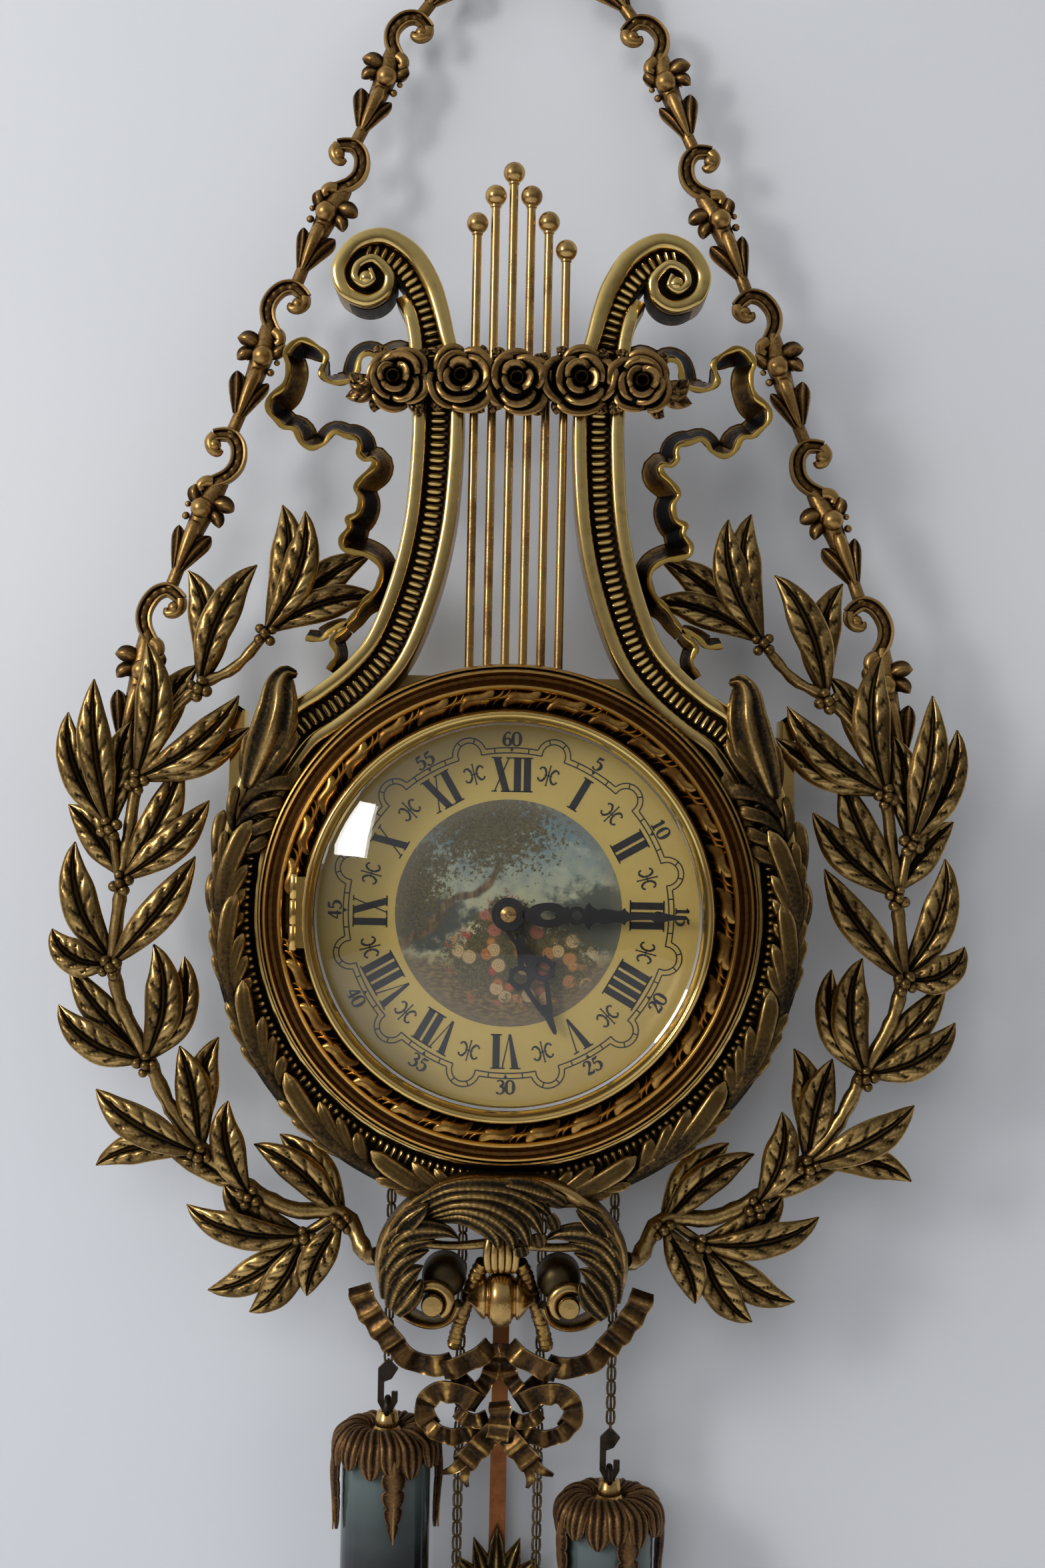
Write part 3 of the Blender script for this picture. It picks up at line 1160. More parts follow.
# Acanthus sprays that climb the outer rim of the bowl to a curled top leaf
acanthus = {
    "radius": 121, "out": 89, "first": 190, "thumbs": [209, 233.5, 255, 273.5, 289],
    # fingers of one leaf, in degrees back from its thumb and millimetres: start, its radius, tip, its
    # radius, width and lift
    "fingers": [(27, 124.5, 9, 113.6, 6.4, 1.6), (27, 125.0, 14, 113.2, 6.2, 0.8),
                (28, 125.5, 19, 113.6, 6.0, 0.0),
                (17, 123.0, 3.5, 126.4, 5.0, 0.2), (20, 124.0, 7.5, 127.2, 5.0, -0.4),
                (24, 124.5, 12.5, 127.0, 5.4, -1.0), (27, 124, 0, 116.6, 8.4, 2.6)],
    "top": [(-111.5, 89, 52), (-107, 93, 62), (-102.5, 96, 74), (-99.5, 97, 86), (-99, 95, 95),
            (-97, 91, 100.5), (-93, 88.5, 101)],
    # finger leaves beside the top leaf and the hooked one under them: points of (x, out, z), then the width
    "besides": [
        ([(-110, 90, 55), (-104, 94.5, 63), (-97.5, 96.5, 73.5), (-92, 95, 83.5)], 7.2),
        ([(-111, 89, 51), (-104, 94, 58), (-97, 96, 67), (-91.6, 94.5, 76.5)], 6.8),
        ([(-115.5, 87, 44), (-107, 91.5, 52), (-99, 92.5, 54.5), (-93.5, 90.5, 55), (-91.6, 88.5, 62)],
         7.6),
        ([(-117, 87, 36), (-109, 91.5, 43), (-101, 92, 45.5), (-96.5, 89, 46.5)], 6.6),
        ([(-117.5, 86, 28), (-111, 90.5, 33), (-104, 91.5, 36), (-99.5, 89, 38.5)], 6.4),
        ([(-118.5, 86, 20), (-113, 90, 25), (-107, 91, 28), (-102.5, 88.5, 31.5)], 6.2),
        ([(-114, 86, 52), (-114.5, 89, 60), (-113.5, 90, 68), (-112.5, 87, 75)], 5.4),
        ([(-117.5, 84, 30), (-119.5, 87.5, 38), (-119.2, 88, 46), (-117.6, 85, 53)], 5.0),
        ([(-119.5, 78, 6), (-124.5, 82, 17), (-125.5, 83, 30), (-124, 80, 42)], 7.0),
        ([(-121.5, 78, -10), (-127, 81, -2), (-128, 82, 8), (-126.5, 79, 16)], 6.4),
    ],
}


# A finger of an acanthus leaf: slender at its root, rounded and rubbed along the rim at its end, dark
# beside it
def acanthusFinger(casting, line, width):
    steps, across = 18, 12
    path = evenly(line, steps)
    rows = []
    for i, at in enumerate(framesAlong(path)):
        t = i / steps
        body = 0.4 + 0.6 * math.sin(min(t / 0.82, 1) * math.pi / 2)
        if t > 0.82:
            body *= max(1 - ((t - 0.82) / 0.18) ** 2, 0.02) ** 0.5
        ring = []
        for k in range(across + 1):
            u = -1 + 2 * k / across
            rim = bump(abs(u), 0.8, 0.16) * fade(0.25, 0.8, t)
            rise = 2.4 * (1 - u * u) ** 0.7 + 0.5 * rim - 0.5 * bump(u, 0, 0.35) * fade(0.3, 0.8, t)
            wear = (0.26 + 0.2 * fade(0.4, 0.9, t)) * (1 - fade(0.75, 1, abs(u)) * (1 - fade(0.5, 0.9,
                    t))) + 0.55 * rim
            wear = max(wear, 0.8 * fade(0.86, 0.97, t))
            ring.append((beside(at, u * body * width / 2, rise * (0.3 + 0.7 * body)), wear))
        for u in (0.8, 0, -0.8):
            ring.append((beside(at, u * body * width / 2, -2.2 * body), 0.05))
        rows.append(ring)
    casting.grid(rows)


def buildAcanthus():
    a = acanthus
    casting = Casting()

    def along(bearing, shift=0.0, out=0.0):
        b = math.radians(bearing)
        rr = a["radius"] + shift
        return (rr * math.sin(b), a["out"] + out, rr * math.cos(b))

    # dark stalk under the leaves
    stalk = [along(a["first"] + (a["thumbs"][-1] - 4 - a["first"]) * k / 12, 1.5,
                   -5) + (5.6 if k < 12 else 3.0,) for k in range(13)]
    tube(casting, stalk, 60, 10, 0.05, 0.25)
    for i, thumb in enumerate(a["thumbs"]):
        size = 1.0 + 0.05 * math.sin(i * 1.9)
        for start, startRadius, tip, tipRadius, wide, lift in a["fingers"]:
            b0, b1 = thumb - start * size, thumb - tip * size
            r0, r1 = startRadius - a["radius"], tipRadius - a["radius"]
            line = [along(b0, r0, lift - 2.5), along(b0 + (b1 - b0) * 0.45, r0 + (r1 - r0) * 0.2,
                    lift - 0.3),
                    along(b0 + (b1 - b0) * 0.8, r0 + (r1 - r0) * 0.66, lift + 0.6),
                    along(b1, r1, lift - 0.2)]
            acanthusFinger(casting, line, wide * size)
    top = a["top"]
    carvedLeaf(casting, top, 19, flutes=3, relief=2.6, camber=2.4, steps=36, across=24, base=0.5,
               widest=0.42, tip=0.5)
    for line, wide in a["besides"]:
        acanthusFinger(casting, line, wide)
    placePair("acanthus_spray", casting, giltBronze, "gilt_bronze", "acanthus")


buildAcanthus()
print("acanthus ready")


# Cartouche under the bowl
cartouche = {
    # outer scroll of the left half: x, out, z, width, depth
    "scroll": [(0.3, 94, -113, 6.5, 12), (-14, 94, -113.4, 7, 12), (-28, 92.5, -118, 7.5, 14),
               (-41, 90, -128, 7.5, 18), (-50, 87, -142, 7, 22), (-51.5, 85, -156, 6.4, 24),
               (-46.5, 84, -169, 5.8, 24), (-38, 84, -176, 4.8, 22), (-29, 84.4, -178, 4.2, 18),
               (-21.5, 85, -175, 3.6, 15), (-18.5, 85.6, -168.5, 3.2, 12)],
    # lobes that spring from the scroll and sweep inwards
    "lobes": [
        [(-47, 88, -170), (-44, 91.5, -160), (-38, 92.5, -153), (-33.5, 91, -150.5)],
        [(-49, 87.5, -166), (-47.5, 91.5, -155), (-41, 93.5, -147), (-31, 92, -143.5)],
        [(-49.5, 88, -158), (-48, 92, -149), (-41, 95, -140.5), (-28.5, 94, -138.5)],
        [(-49, 89, -150), (-46.5, 93.5, -141.5), (-38, 96.5, -134.5), (-25, 95, -134.5), (-18.5, 93, -138)],
        [(-46.5, 90, -141), (-43, 94, -134), (-38, 97, -127.5), (-31.5, 98.5, -122.5)],
        [(-45, 88, -172), (-40.5, 90.5, -166.5), (-36, 91, -160.5), (-34, 90, -156.5)],
    ],
    # strands of the large leaf that sweeps over the middle to the right
    "sweep": [
        [(-38, 93, -125), (-22, 98.5, -116.2), (0, 100.5, -115.5), (14, 99, -121), (20.5, 97, -127)],
        [(-37, 93, -127.5), (-21, 99, -119.2), (-3, 101.6, -118.6), (11, 101.5, -125), (17, 98.5, -134.5)],
        [(-35, 93, -129), (-20, 98.5, -122.4), (-5, 101.6, -122.6), (7, 102, -129.5), (11.5, 98.5, -139.5)],
        [(-33, 93, -130), (-19, 98, -125), (-6, 101, -126.5), (2.5, 101, -133), (5.5, 97.5, -141)],
        [(-30, 92.5, -130.5), (-18, 97, -127.4), (-8, 99.5, -130), (-2.5, 99, -135.5), (-1.5, 96.5, -141)],
        [(-8, 98, -113.5), (6, 100, -114), (17, 99, -117), (24, 96.5, -120)],
    ],
    "egg": (25.0, -158.5, 9.6), "boss": (29.3, -168, 4.7, 90.5), "bar": (84, -143, 2.2, 40),
}


def buildCartouche():
    c = cartouche
    half = Casting()
    section = []
    for k in range(14):
        turn = 2 * math.pi * k / 14
        section.append((math.sin(turn) / 2, math.cos(turn) / 2 * (1.0 if math.cos(turn) > 0 else 0.9),
                        0.35 + 0.65 * fade(-0.3, 0.9, math.cos(turn) - 0.25 * math.sin(turn))))
    path = evenly(c["scroll"], 60)
    rows = []
    for i, at in enumerate(framesAlong(path)):
        width, depth = path[i][3], path[i][4]
        rows.append([(beside(at, u * width, (v * depth - depth / 2 + 3)), w) for u, v, w in section])
    half.grid(rows)
    for line in c["lobes"]:
        carvedLeaf(half, line, 9.6, flutes=3, relief=1.2, camber=1.6, steps=40, across=14, base=0.55,
                   widest=0.5, tip=0.7, beads=22)
    # small curled leaf at the shoulder
    carvedLeaf(half, [(-44, 93, -140), (-41, 97.5, -133), (-35, 99, -127), (-31.5, 97.5, -124)], 6.4,
               relief=1.0, scoop=0.8, steps=20, across=10, base=0.5, tip=0.6)
    carvedLeaf(half, [(-46, 92, -143), (-44.5, 96, -138.5), (-41.5, 97.5, -135)], 4, relief=0.9, scoop=0.7,
               steps=14, across=8, base=0.5, tip=0.6)
    # C-shaped curl round the boss
    bx, bz, br, bo = c["boss"]
    curl = []
    for k in range(17):
        b = math.radians(-70 + 215 * k / 16)
        rr = 8.0 - 1.3 * k / 16
        curl.append((-bx + rr * math.sin(b), 85.2, bz + rr * math.cos(b),
                     2.6 * math.sin(math.pi * (k + 0.6) / 17.2) ** 0.5 + 0.3))
    tube(half, curl, 40, 10, 0.5, 1)
    turned(half, [(0.01, 80, 0.2), (br, 80, 0.3), (br, bo - 0.6, 0.8), (br - 0.5, bo, 1),
                  (0.01, bo + 0.1, 0.92)], 32, -bx, bz, closed=False)
    # crossing bar
    out, z, radius, reach = c["bar"]
    tube(half, [(-reach, out, z + 1, radius), (-22, out + 0.5, z - 0.2, radius * 0.85),
                (-6, out + 1, z + 1.2, radius)], 16, 10, 0.3, 0.75)
    whole = half
    whole.mirror()
    for line in c["sweep"]:
        carvedLeaf(whole, line, 9.4, flutes=3, relief=1.1, camber=2.0, steps=56, across=14, base=0.35,
                   widest=0.62, tip=0.5, beads=34)
    for x0, z0, x1, z1 in ((19, -117.5, 27, -122.5), (20, -126, 23, -133), (14.5, -134, 16.5, -140.5),
                           (8, -139.5, 9, -144.5)):
        carvedLeaf(whole, [(x0, 98.5, z0), ((x0 + x1) / 2, 98.5, (z0 + z1) / 2), (x1, 96.5, z1)], 6.5,
                   relief=0.8, scoop=0.5, steps=10, across=10, base=0.7, tip=0.5)
    # tie of five loops
    for k in range(5):
        x = (k - 2) * 3.1
        lean = (k - 2) * 0.55
        tube(whole, [(x * 0.75, 86, -134, 1.2), (x - lean, 91.5, -137.5, 1.75), (x, 93, -144, 1.85),
                     (x * 0.92, 91.5, -150.5, 1.7), (x * 0.75, 86.5, -153.2, 1.2)], 20, 10, 0.1, 1)
    plate(whole, [[(-7, -136), (7, -136), (7.5, -151), (-7.5, -151)]], 79, 88, 0.1)
    place("cartouche", whole.mesh("cartouche", [giltBronze]), "clock", "gilt_bronze", ["scroll_cartouche"])
    eggs = Casting()
    ex, ez, er = c["egg"]
    for side in (-1, 1):
        profile = [(0.01, 68, 0.2)]
        for k in range(13):
            a = math.pi / 2 * k / 12
            profile.append((er * math.cos(a) ** 0.9 + 0.01, 76 + 8.6 * math.sin(a), 0.5))
        turned(eggs, [(0.01, 68, 0.2), (er, 68, 0.3)] + profile[1:], 36, side * ex, ez, closed=False)
    place("matt_eggs", eggs.mesh("eggs", [eggBronze]), "clock", "gilt_bronze")


def buildSpindle():
    casting = Casting()
    cx, cOut, cz = 0, 80, -166
    profile = [(0.01, -14.2), (2.4, -14), (3.6, -12.6), (6.6, -10.4), (9.2, -8.2), (9.6, -7.4), (9.5, -6.8),
               (8.3, -6.2), (8.5, -5.6), (9.6, -5.2)]
    for k in range(13):
        a = -math.pi / 2 + math.pi * k / 12
        profile.append((9.4 + 3.6 * math.cos(a) ** 0.8 if abs(math.cos(a)) > 1e-6 else 9.4,
                        4.9 * math.sin(a)))
    profile += [(r, -x) for r, x in reversed(profile[:10])]
    steps = 40
    rows = []
    for i in range(steps):
        turn = 2 * math.pi * i / steps
        rows.append([(spot(cx + x, cOut + r * math.cos(turn), cz + r * math.sin(turn)),
                      0.9 if abs(x) < 5 or r > 9.4 else 0.5) for r, x in profile])
    casting.grid(rows, around=False, loop=True)
    place("spindle", casting.mesh("spindle", [rodBrass], 35), "clock", "polished_brass", ["spindle_finial"])


buildCartouche()
buildSpindle()
print("cartouche ready")


# Dial: numerals, minute track, small fleurs and a painted centre
dial = {
    "front": 80.2, "ink": 0.16, "picture": 49.0, "hourInner": 52.2, "hourOuter": 67.2, "bar": 3.1,
    "hair": 0.62, "gap": 1.15,
    "track": 70.2, "lane": 1.1, "bulge": 6.2, "line": 0.58, "digitRadius": 75.0, "digitHeight": 6.0,
    "fleurRadius": 61.6, "sunk": 0.02,
}

# Digits as strokes on a grid 1 high: x, y and the width of the pen
digitStrokes = {
    "0": [([(0.3, 0.98, 0.07), (0.09, 0.85, 0.15), (0.03, 0.5, 0.21), (0.09, 0.15, 0.15), (0.3, 0.02, 0.07),
            (0.51, 0.15, 0.15), (0.57, 0.5, 0.21), (0.51, 0.85, 0.15)], True)],
    "1": [([(0.28, 0.03, 0.19), (0.28, 0.5, 0.19), (0.28, 0.97, 0.19)], False),
          ([(0.06, 0.8, 0.05), (0.2, 0.88, 0.07), (0.3, 0.98, 0.06)], False),
          ([(0.05, 0.02, 0.06), (0.28, 0.03, 0.07), (0.5, 0.02, 0.06)], False)],
    "2": [([(0.08, 0.72, 0.18), (0.14, 0.92, 0.1), (0.32, 0.98, 0.08), (0.5, 0.86, 0.17), (0.5, 0.68, 0.19),
            (0.32, 0.4, 0.1), (0.06, 0.08, 0.07)], False),
          ([(0.05, 0.07, 0.12), (0.3, 0.08, 0.18), (0.52, 0.05, 0.12), (0.57, 0.22, 0.06)], False)],
    "3": [([(0.06, 0.9, 0.1), (0.27, 0.99, 0.07), (0.47, 0.88, 0.15), (0.47, 0.68, 0.16),
            (0.24, 0.55, 0.07)], False),
          ([(0.24, 0.55, 0.07), (0.5, 0.46, 0.16), (0.54, 0.24, 0.19), (0.36, 0.03, 0.09), (0.1, 0.04, 0.1),
            (0.07, 0.16, 0.16)], False)],
    "4": [([(0.42, 0.0, 0.17), (0.42, 0.5, 0.17), (0.42, 0.98, 0.17)], False),
          ([(0.4, 0.96, 0.07), (0.2, 0.62, 0.07), (0.02, 0.3, 0.07)], False),
          ([(0.02, 0.29, 0.08), (0.3, 0.29, 0.08), (0.6, 0.29, 0.08)], False)],
    "5": [([(0.13, 0.55, 0.06), (0.14, 0.75, 0.06), (0.16, 0.93, 0.06)], False),
          ([(0.14, 0.92, 0.14), (0.34, 0.9, 0.15), (0.52, 0.97, 0.08)], False),
          ([(0.13, 0.55, 0.07), (0.32, 0.63, 0.08), (0.53, 0.48, 0.18), (0.53, 0.24, 0.19),
            (0.34, 0.03, 0.09), (0.1, 0.05, 0.1), (0.07, 0.17, 0.15)], False)],
    "6": [([(0.52, 0.86, 0.12), (0.4, 0.98, 0.07), (0.18, 0.86, 0.11), (0.07, 0.5, 0.2), (0.1, 0.18, 0.18),
            (0.3, 0.02, 0.08), (0.52, 0.15, 0.17), (0.53, 0.4, 0.19), (0.36, 0.57, 0.08),
            (0.14, 0.45, 0.09)], False)],
}


def pathStroke(casting, points, back, front, turnBy=0.0, loop=False, at=(0, 0), smooth=5):
    a = math.radians(turnBy)
    line = lineThrough(points, smooth, loop) if smooth > 1 else points
    out = []
    for x, z, w in line:
        out.append((at[0] + x * math.cos(a) + z * math.sin(a), at[1] - x * math.sin(a) + z * math.cos(a),
                    w))
    stroke(casting, out, 1, back, front, loop=loop)


# Turns a flat point clockwise about the axis of the hands
def clockwise(x, z, angle):
    return x * math.cos(angle) + z * math.sin(angle), -x * math.sin(angle) + z * math.cos(angle)


def romanNumeral(casting, text, bearing):
    d = dial
    low, high, bar, hair = d["hourInner"], d["hourOuter"], d["bar"], d["hair"]
    back, front = d["front"] - d["sunk"], d["front"] + d["ink"]
    widths = {"I": bar, "V": 8.0, "X": 8.4}
    gap, tuck = d["gap"], 0.8
    total = sum(widths[t] for t in text) + gap * (len(text) - 1)
    if "V" in text and len(text) > 1:
        total -= tuck
    x = -total / 2

    def slab(points):
        plate(casting, [[clockwise(px, pz, math.radians(bearing)) for px, pz in points]], back, front, 0.8)

    def serif(left, right, foot):
        slab([(left, foot), (right, foot), (right, foot + hair), (left, foot + hair)])

    for i, letter in enumerate(text):
        w = widths[letter]
        if letter == "I":
            slab([(x, low), (x + w, low), (x + w, high), (x, high)])
            left = 0.85 if i == 0 or text[i - 1] != "I" else gap / 2 + 0.02
            right = 0.85 if i == len(text) - 1 or text[i + 1] != "I" else gap / 2 + 0.02
            serif(x - left, x + w + right, low)
            serif(x - left, x + w + right, high - hair)
        elif letter == "V":
            tip = x + w * 0.52
            slab([(x, high), (x + bar, high), (tip + 0.55, low + 0.1), (tip - 0.55, low)])
            slab([(x + w - hair - 0.35, high), (x + w - 0.35, high), (tip + 0.3, low), (tip - 0.1, low)])
            serif(x - 0.8, x + bar + 0.8, high - hair)
            serif(x + w - 1.9, x + w + 0.7, high - hair)
        else:
            slab([(x + 0.5, high), (x + 0.5 + bar, high), (x + w - 0.5, low), (x + w - 0.5 - bar, low)])
            slab([(x + w - 1.3, high), (x + w - 1.3 + hair, high), (x + 0.9 + hair, low), (x + 0.9, low)])
            serif(x + w - bar - 1.3, x + w + 0.2, low)
            serif(x, x + 2.3, low)
            serif(x - 0.2, x + bar + 1.3, high - hair)
            serif(x + w - 2.2, x + w + 0.1, high - hair)
        x += w + gap - (tuck if letter == "V" else 0)


def arabicNumber(casting, text, bearing, upside):
    d = dial
    tall = d["digitHeight"]
    wide = 0.68 * tall
    total = wide * len(text)
    turn = bearing + (180 if upside else 0)
    a = math.radians(bearing)
    centre = (d["digitRadius"] * math.sin(a), d["digitRadius"] * math.cos(a))
    for i, digit in enumerate(text):
        x0 = -total / 2 + wide * i + 0.04 * tall
        for points, loop in digitStrokes[digit]:
            line = [(x0 + px * tall, (py - 0.5) * tall, max(w * 1.2, 0.11) * tall) for px, py, w in points]
            pathStroke(casting, line, d["front"] - d["sunk"], d["front"] + d["ink"], turn, loop, centre)


def minuteTrack(casting):
    d = dial
    back, front = d["front"] - d["sunk"], d["front"] + 0.08
    for side in (-1, 1):
        rr, lobe = d["track"] + side * d["lane"], d["bulge"] + side * d["lane"]
        path = []
        for hour in range(12):
            middle = math.radians(hour * 30 + 15)
            cx, cz = d["track"] * math.sin(middle), d["track"] * math.cos(middle)
            meet = 2 * math.asin(lobe / 2 / d["track"])
            for k in range(9):
                a = math.radians(hour * 30 - 15) + meet + (math.radians(30) - 2 * meet) * k / 8
                path.append((rr * math.sin(a), rr * math.cos(a), d["line"]))
            tilt = math.asin(min(side * d["lane"] / lobe, 0.9))
            for k in range(15):
                b = middle - math.pi / 2 + tilt + (math.pi - 2 * tilt) * k / 14
                path.append((cx + lobe * math.sin(b), cz + lobe * math.cos(b), d["line"]))
        stroke(casting, path, 1, back, front, 0.8, loop=True)
    for minute in range(60):
        a = math.radians(minute * 6)
        if minute % 5 == 0:
            r0, r1 = d["track"] - d["lane"], d["track"] + d["lane"]
            corners = [(-1.0, r1), (1.0, r1), (0, r0 + 0.2)]
            plate(casting, [[clockwise(x, r, a) for x, r in corners]], back, d["front"] + d["ink"])
        elif minute % 5 in (1, 4):
            tick = [(0, d["track"] - d["lane"], d["line"]), (0, d["track"] + d["lane"], d["line"])]
            pathStroke(casting, tick, back, front, minute * 6, smooth=1)
        else:
            hour = minute // 5
            middle = math.radians(hour * 30 + 15)
            cx, cz = d["track"] * math.sin(middle), d["track"] * math.cos(middle)
            b = middle + math.radians(-32 if minute % 5 == 2 else 32)
            r0, r1 = d["bulge"] - d["lane"], d["bulge"] + d["lane"]
            stroke(casting, [(cx + r0 * math.sin(b), cz + r0 * math.cos(b), d["line"]),
                             (cx + r1 * math.sin(b), cz + r1 * math.cos(b), d["line"])], 1, back, front)


def smallFleur(casting, bearing):
    d = dial
    a = math.radians(bearing)
    centre = (d["fleurRadius"] * math.sin(a), d["fleurRadius"] * math.cos(a))
    back, front = d["front"] - d["sunk"], d["front"] + 0.1
    pathStroke(casting, [(0, -4.6, 1.3), (0, -3.9, 0.6), (0, 0, 0.7), (0, 3.9, 0.6), (0, 4.6, 1.3)], back,
               front, bearing, at=centre)
    pathStroke(casting, [(-1.7, 0, 0.6), (0, 0, 0.6), (1.7, 0, 0.6)], back, front, bearing, at=centre,
               smooth=2)
    for side in (-1, 1):
        for up in (-1, 1):
            line = [(side * 1.0, up * 0.1, 0.6), (side * 1.35, up * 1.5, 0.95),
                    (side * 2.4, up * 2.85, 1.0), (side * 3.7, up * 2.7, 0.7),
                    (side * 4.15, up * 1.75, 0.95)]
            pathStroke(casting, line, back, front, bearing, at=centre)


# A generic painted landscape: cloudy sky, a dark leaning tree, a flowering bank and no figures
def paintedCentre():
    material, tree, surface = newMaterial("painted centre")
    link = tree.links.new
    coords = tree.nodes.new("ShaderNodeTexCoord")
    centred = tree.nodes.new("ShaderNodeMapping")
    centred.inputs["Scale"].default_value = [1 / (dial["picture"] * mm)] * 3
    link(coords.outputs["Object"], centred.inputs["Vector"])
    split = tree.nodes.new("ShaderNodeSeparateXYZ")
    link(centred.outputs[0], split.inputs[0])
    x, z = split.outputs["X"], split.outputs["Z"]

    def noise(scale, detail=4.0, stretch=(1, 1, 1), rough=0.55):
        mapping = tree.nodes.new("ShaderNodeMapping")
        mapping.inputs["Scale"].default_value = stretch
        link(centred.outputs[0], mapping.inputs["Vector"])
        node = tree.nodes.new("ShaderNodeTexNoise")
        node.inputs["Scale"].default_value = scale
        node.inputs["Detail"].default_value = detail
        node.inputs["Roughness"].default_value = rough
        link(mapping.outputs[0], node.inputs["Vector"])
        return node.outputs["Fac"]

    def around(cx, cz, rx, rz):
        a = maths(tree, "DIVIDE", maths(tree, "SUBTRACT", x, cx), rx)
        b = maths(tree, "DIVIDE", maths(tree, "SUBTRACT", z, cz), rz)
        far = maths(tree, "SQRT", maths(tree, "ADD", maths(tree, "MULTIPLY", a, a),
                maths(tree, "MULTIPLY", b, b)))
        return maths(tree, "SUBTRACT", 1.0, far)

    def stirred(value, stir, amount):
        return maths(tree, "ADD", value, maths(tree, "MULTIPLY", maths(tree, "SUBTRACT", stir, 0.5),
                amount))

    def blend(value, low, high, a, b):
        return mixColour(tree, ramp(tree, value, low, high), a, b)

    brush = noise(9, 5)
    leafy = noise(26, 6, rough=0.7)
    fine = noise(60, 4, rough=0.7)
    sky = blend(stirred(z, brush, 0.9), -0.35, 0.85, rgb(160, 158, 122), rgb(78, 104, 112))
    sky = blend(noise(3.2, 5, (1, 1, 1.8)), 0.5, 0.72, sky, rgb(136, 144, 126))
    # far trees on both sides
    far = stirred(around(0.85, -0.05, 0.62, 0.42), brush, 1.5)
    sky = blend(far, 0.02, 0.42, sky, rgb(52, 64, 58))
    far = stirred(around(-0.75, -0.1, 0.6, 0.36), brush, 1.5)
    sky = blend(far, 0.05, 0.5, sky, rgb(44, 56, 56))
    # leaning trunk and its crown
    lean = maths(tree, "ADD", maths(tree, "MULTIPLY", maths(tree, "ADD", x, 0.98), -0.78),
                 maths(tree, "ADD", z, 0.32))
    wander = stirred(lean, noise(2.6, 2), 0.5)
    trunk = maths(tree, "SUBTRACT", 1.0, ramp(tree, maths(tree, "ABSOLUTE", wander), 0.03, 0.085))
    trunk = maths(tree, "MULTIPLY", trunk, maths(tree, "SUBTRACT", 1.0, ramp(tree, x, -0.15, 0.12)))
    bark = blend(noise(30, 4, (1, 1, 0.3)), 0.35, 0.7, rgb(48, 40, 34), rgb(104, 86, 62))
    picture = mixColour(tree, trunk, sky, bark)
    crown = stirred(around(-0.2, 0.78, 0.78, 0.5), leafy, 3.2)
    crown2 = stirred(around(-0.85, 0.3, 0.42, 0.55), leafy, 3.2)
    leaves = blend(fine, 0.35, 0.7, rgb(28, 32, 24), rgb(84, 80, 46))
    picture = blend(maths(tree, "MAXIMUM", crown, crown2), 0.1, 0.42, picture, leaves)
    # ground
    ground = blend(noise(14, 5, (1, 1, 3)), 0.35, 0.68, rgb(54, 50, 34), rgb(112, 92, 56))
    level = stirred(z, brush, 0.35)
    picture = blend(level, -0.36, -0.46, picture, ground)
    # flowering bank: red, rose, cream and gold blooms
    patch = tree.nodes.new("ShaderNodeTexVoronoi")
    patch.inputs["Scale"].default_value = 7.5
    patch.inputs["Randomness"].default_value = 0.9
    link(centred.outputs[0], patch.inputs["Vector"])
    pick = tree.nodes.new("ShaderNodeSeparateColor")
    link(patch.outputs["Color"], pick.inputs[0])
    across = maths(tree, "ADD", x, maths(tree, "MULTIPLY", pick.outputs[0], 0.7))
    bloom = blend(across, -0.25, 0.55, rgb(138, 46, 36), rgb(148, 102, 54))
    bloom = blend(pick.outputs[1], 0.66, 0.78, bloom, rgb(164, 142, 100))
    bloom = blend(pick.outputs[2], 0.74, 0.84, bloom, rgb(138, 82, 68))
    petal = maths(tree, "SINE", maths(tree, "MULTIPLY", maths(tree, "ADD", patch.outputs["Distance"],
            maths(tree, "MULTIPLY", fine, 0.16)), 46.0))
    bloom = blend(petal, -0.9, 0.9, mixColour(tree, 0.45, bloom, rgb(70, 44, 30)), bloom)
    bank = stirred(around(0.1, -0.42, 0.82, 0.46), leafy, 1.6)
    bank2 = stirred(around(0.0, -0.1, 0.36, 0.3), leafy, 1.8)
    mass = ramp(tree, maths(tree, "MAXIMUM", bank, bank2), 0.12, 0.3)
    gaps = ramp(tree, stirred(patch.outputs["Distance"], fine, 0.22), 0.5, 0.42)
    green = blend(fine, 0.4, 0.66, rgb(36, 40, 28), rgb(84, 78, 46))
    picture = mixColour(tree, mass, picture, mixColour(tree, gaps, green, bloom))
    # old varnish
    tone = mixColour(tree, 0.1, picture, rgb(120, 92, 50))
    edge = ramp(tree, maths(tree, "ADD", around(0, 0, 1.0, 1.0), 0.0), 0.0, 0.16)
    link(mixColour(tree, edge, mixColour(tree, 0.5, tone, rgb(96, 88, 70)), tone),
         surface.inputs["Base Color"])
    surface.inputs["Roughness"].default_value = 0.42
    weave = tree.nodes.new("ShaderNodeBump")
    weave.inputs["Strength"].default_value = 0.1
    weave.inputs["Distance"].default_value = 0.0002
    link(fine, weave.inputs["Height"])
    link(weave.outputs["Normal"], surface.inputs["Normal"])
    return material


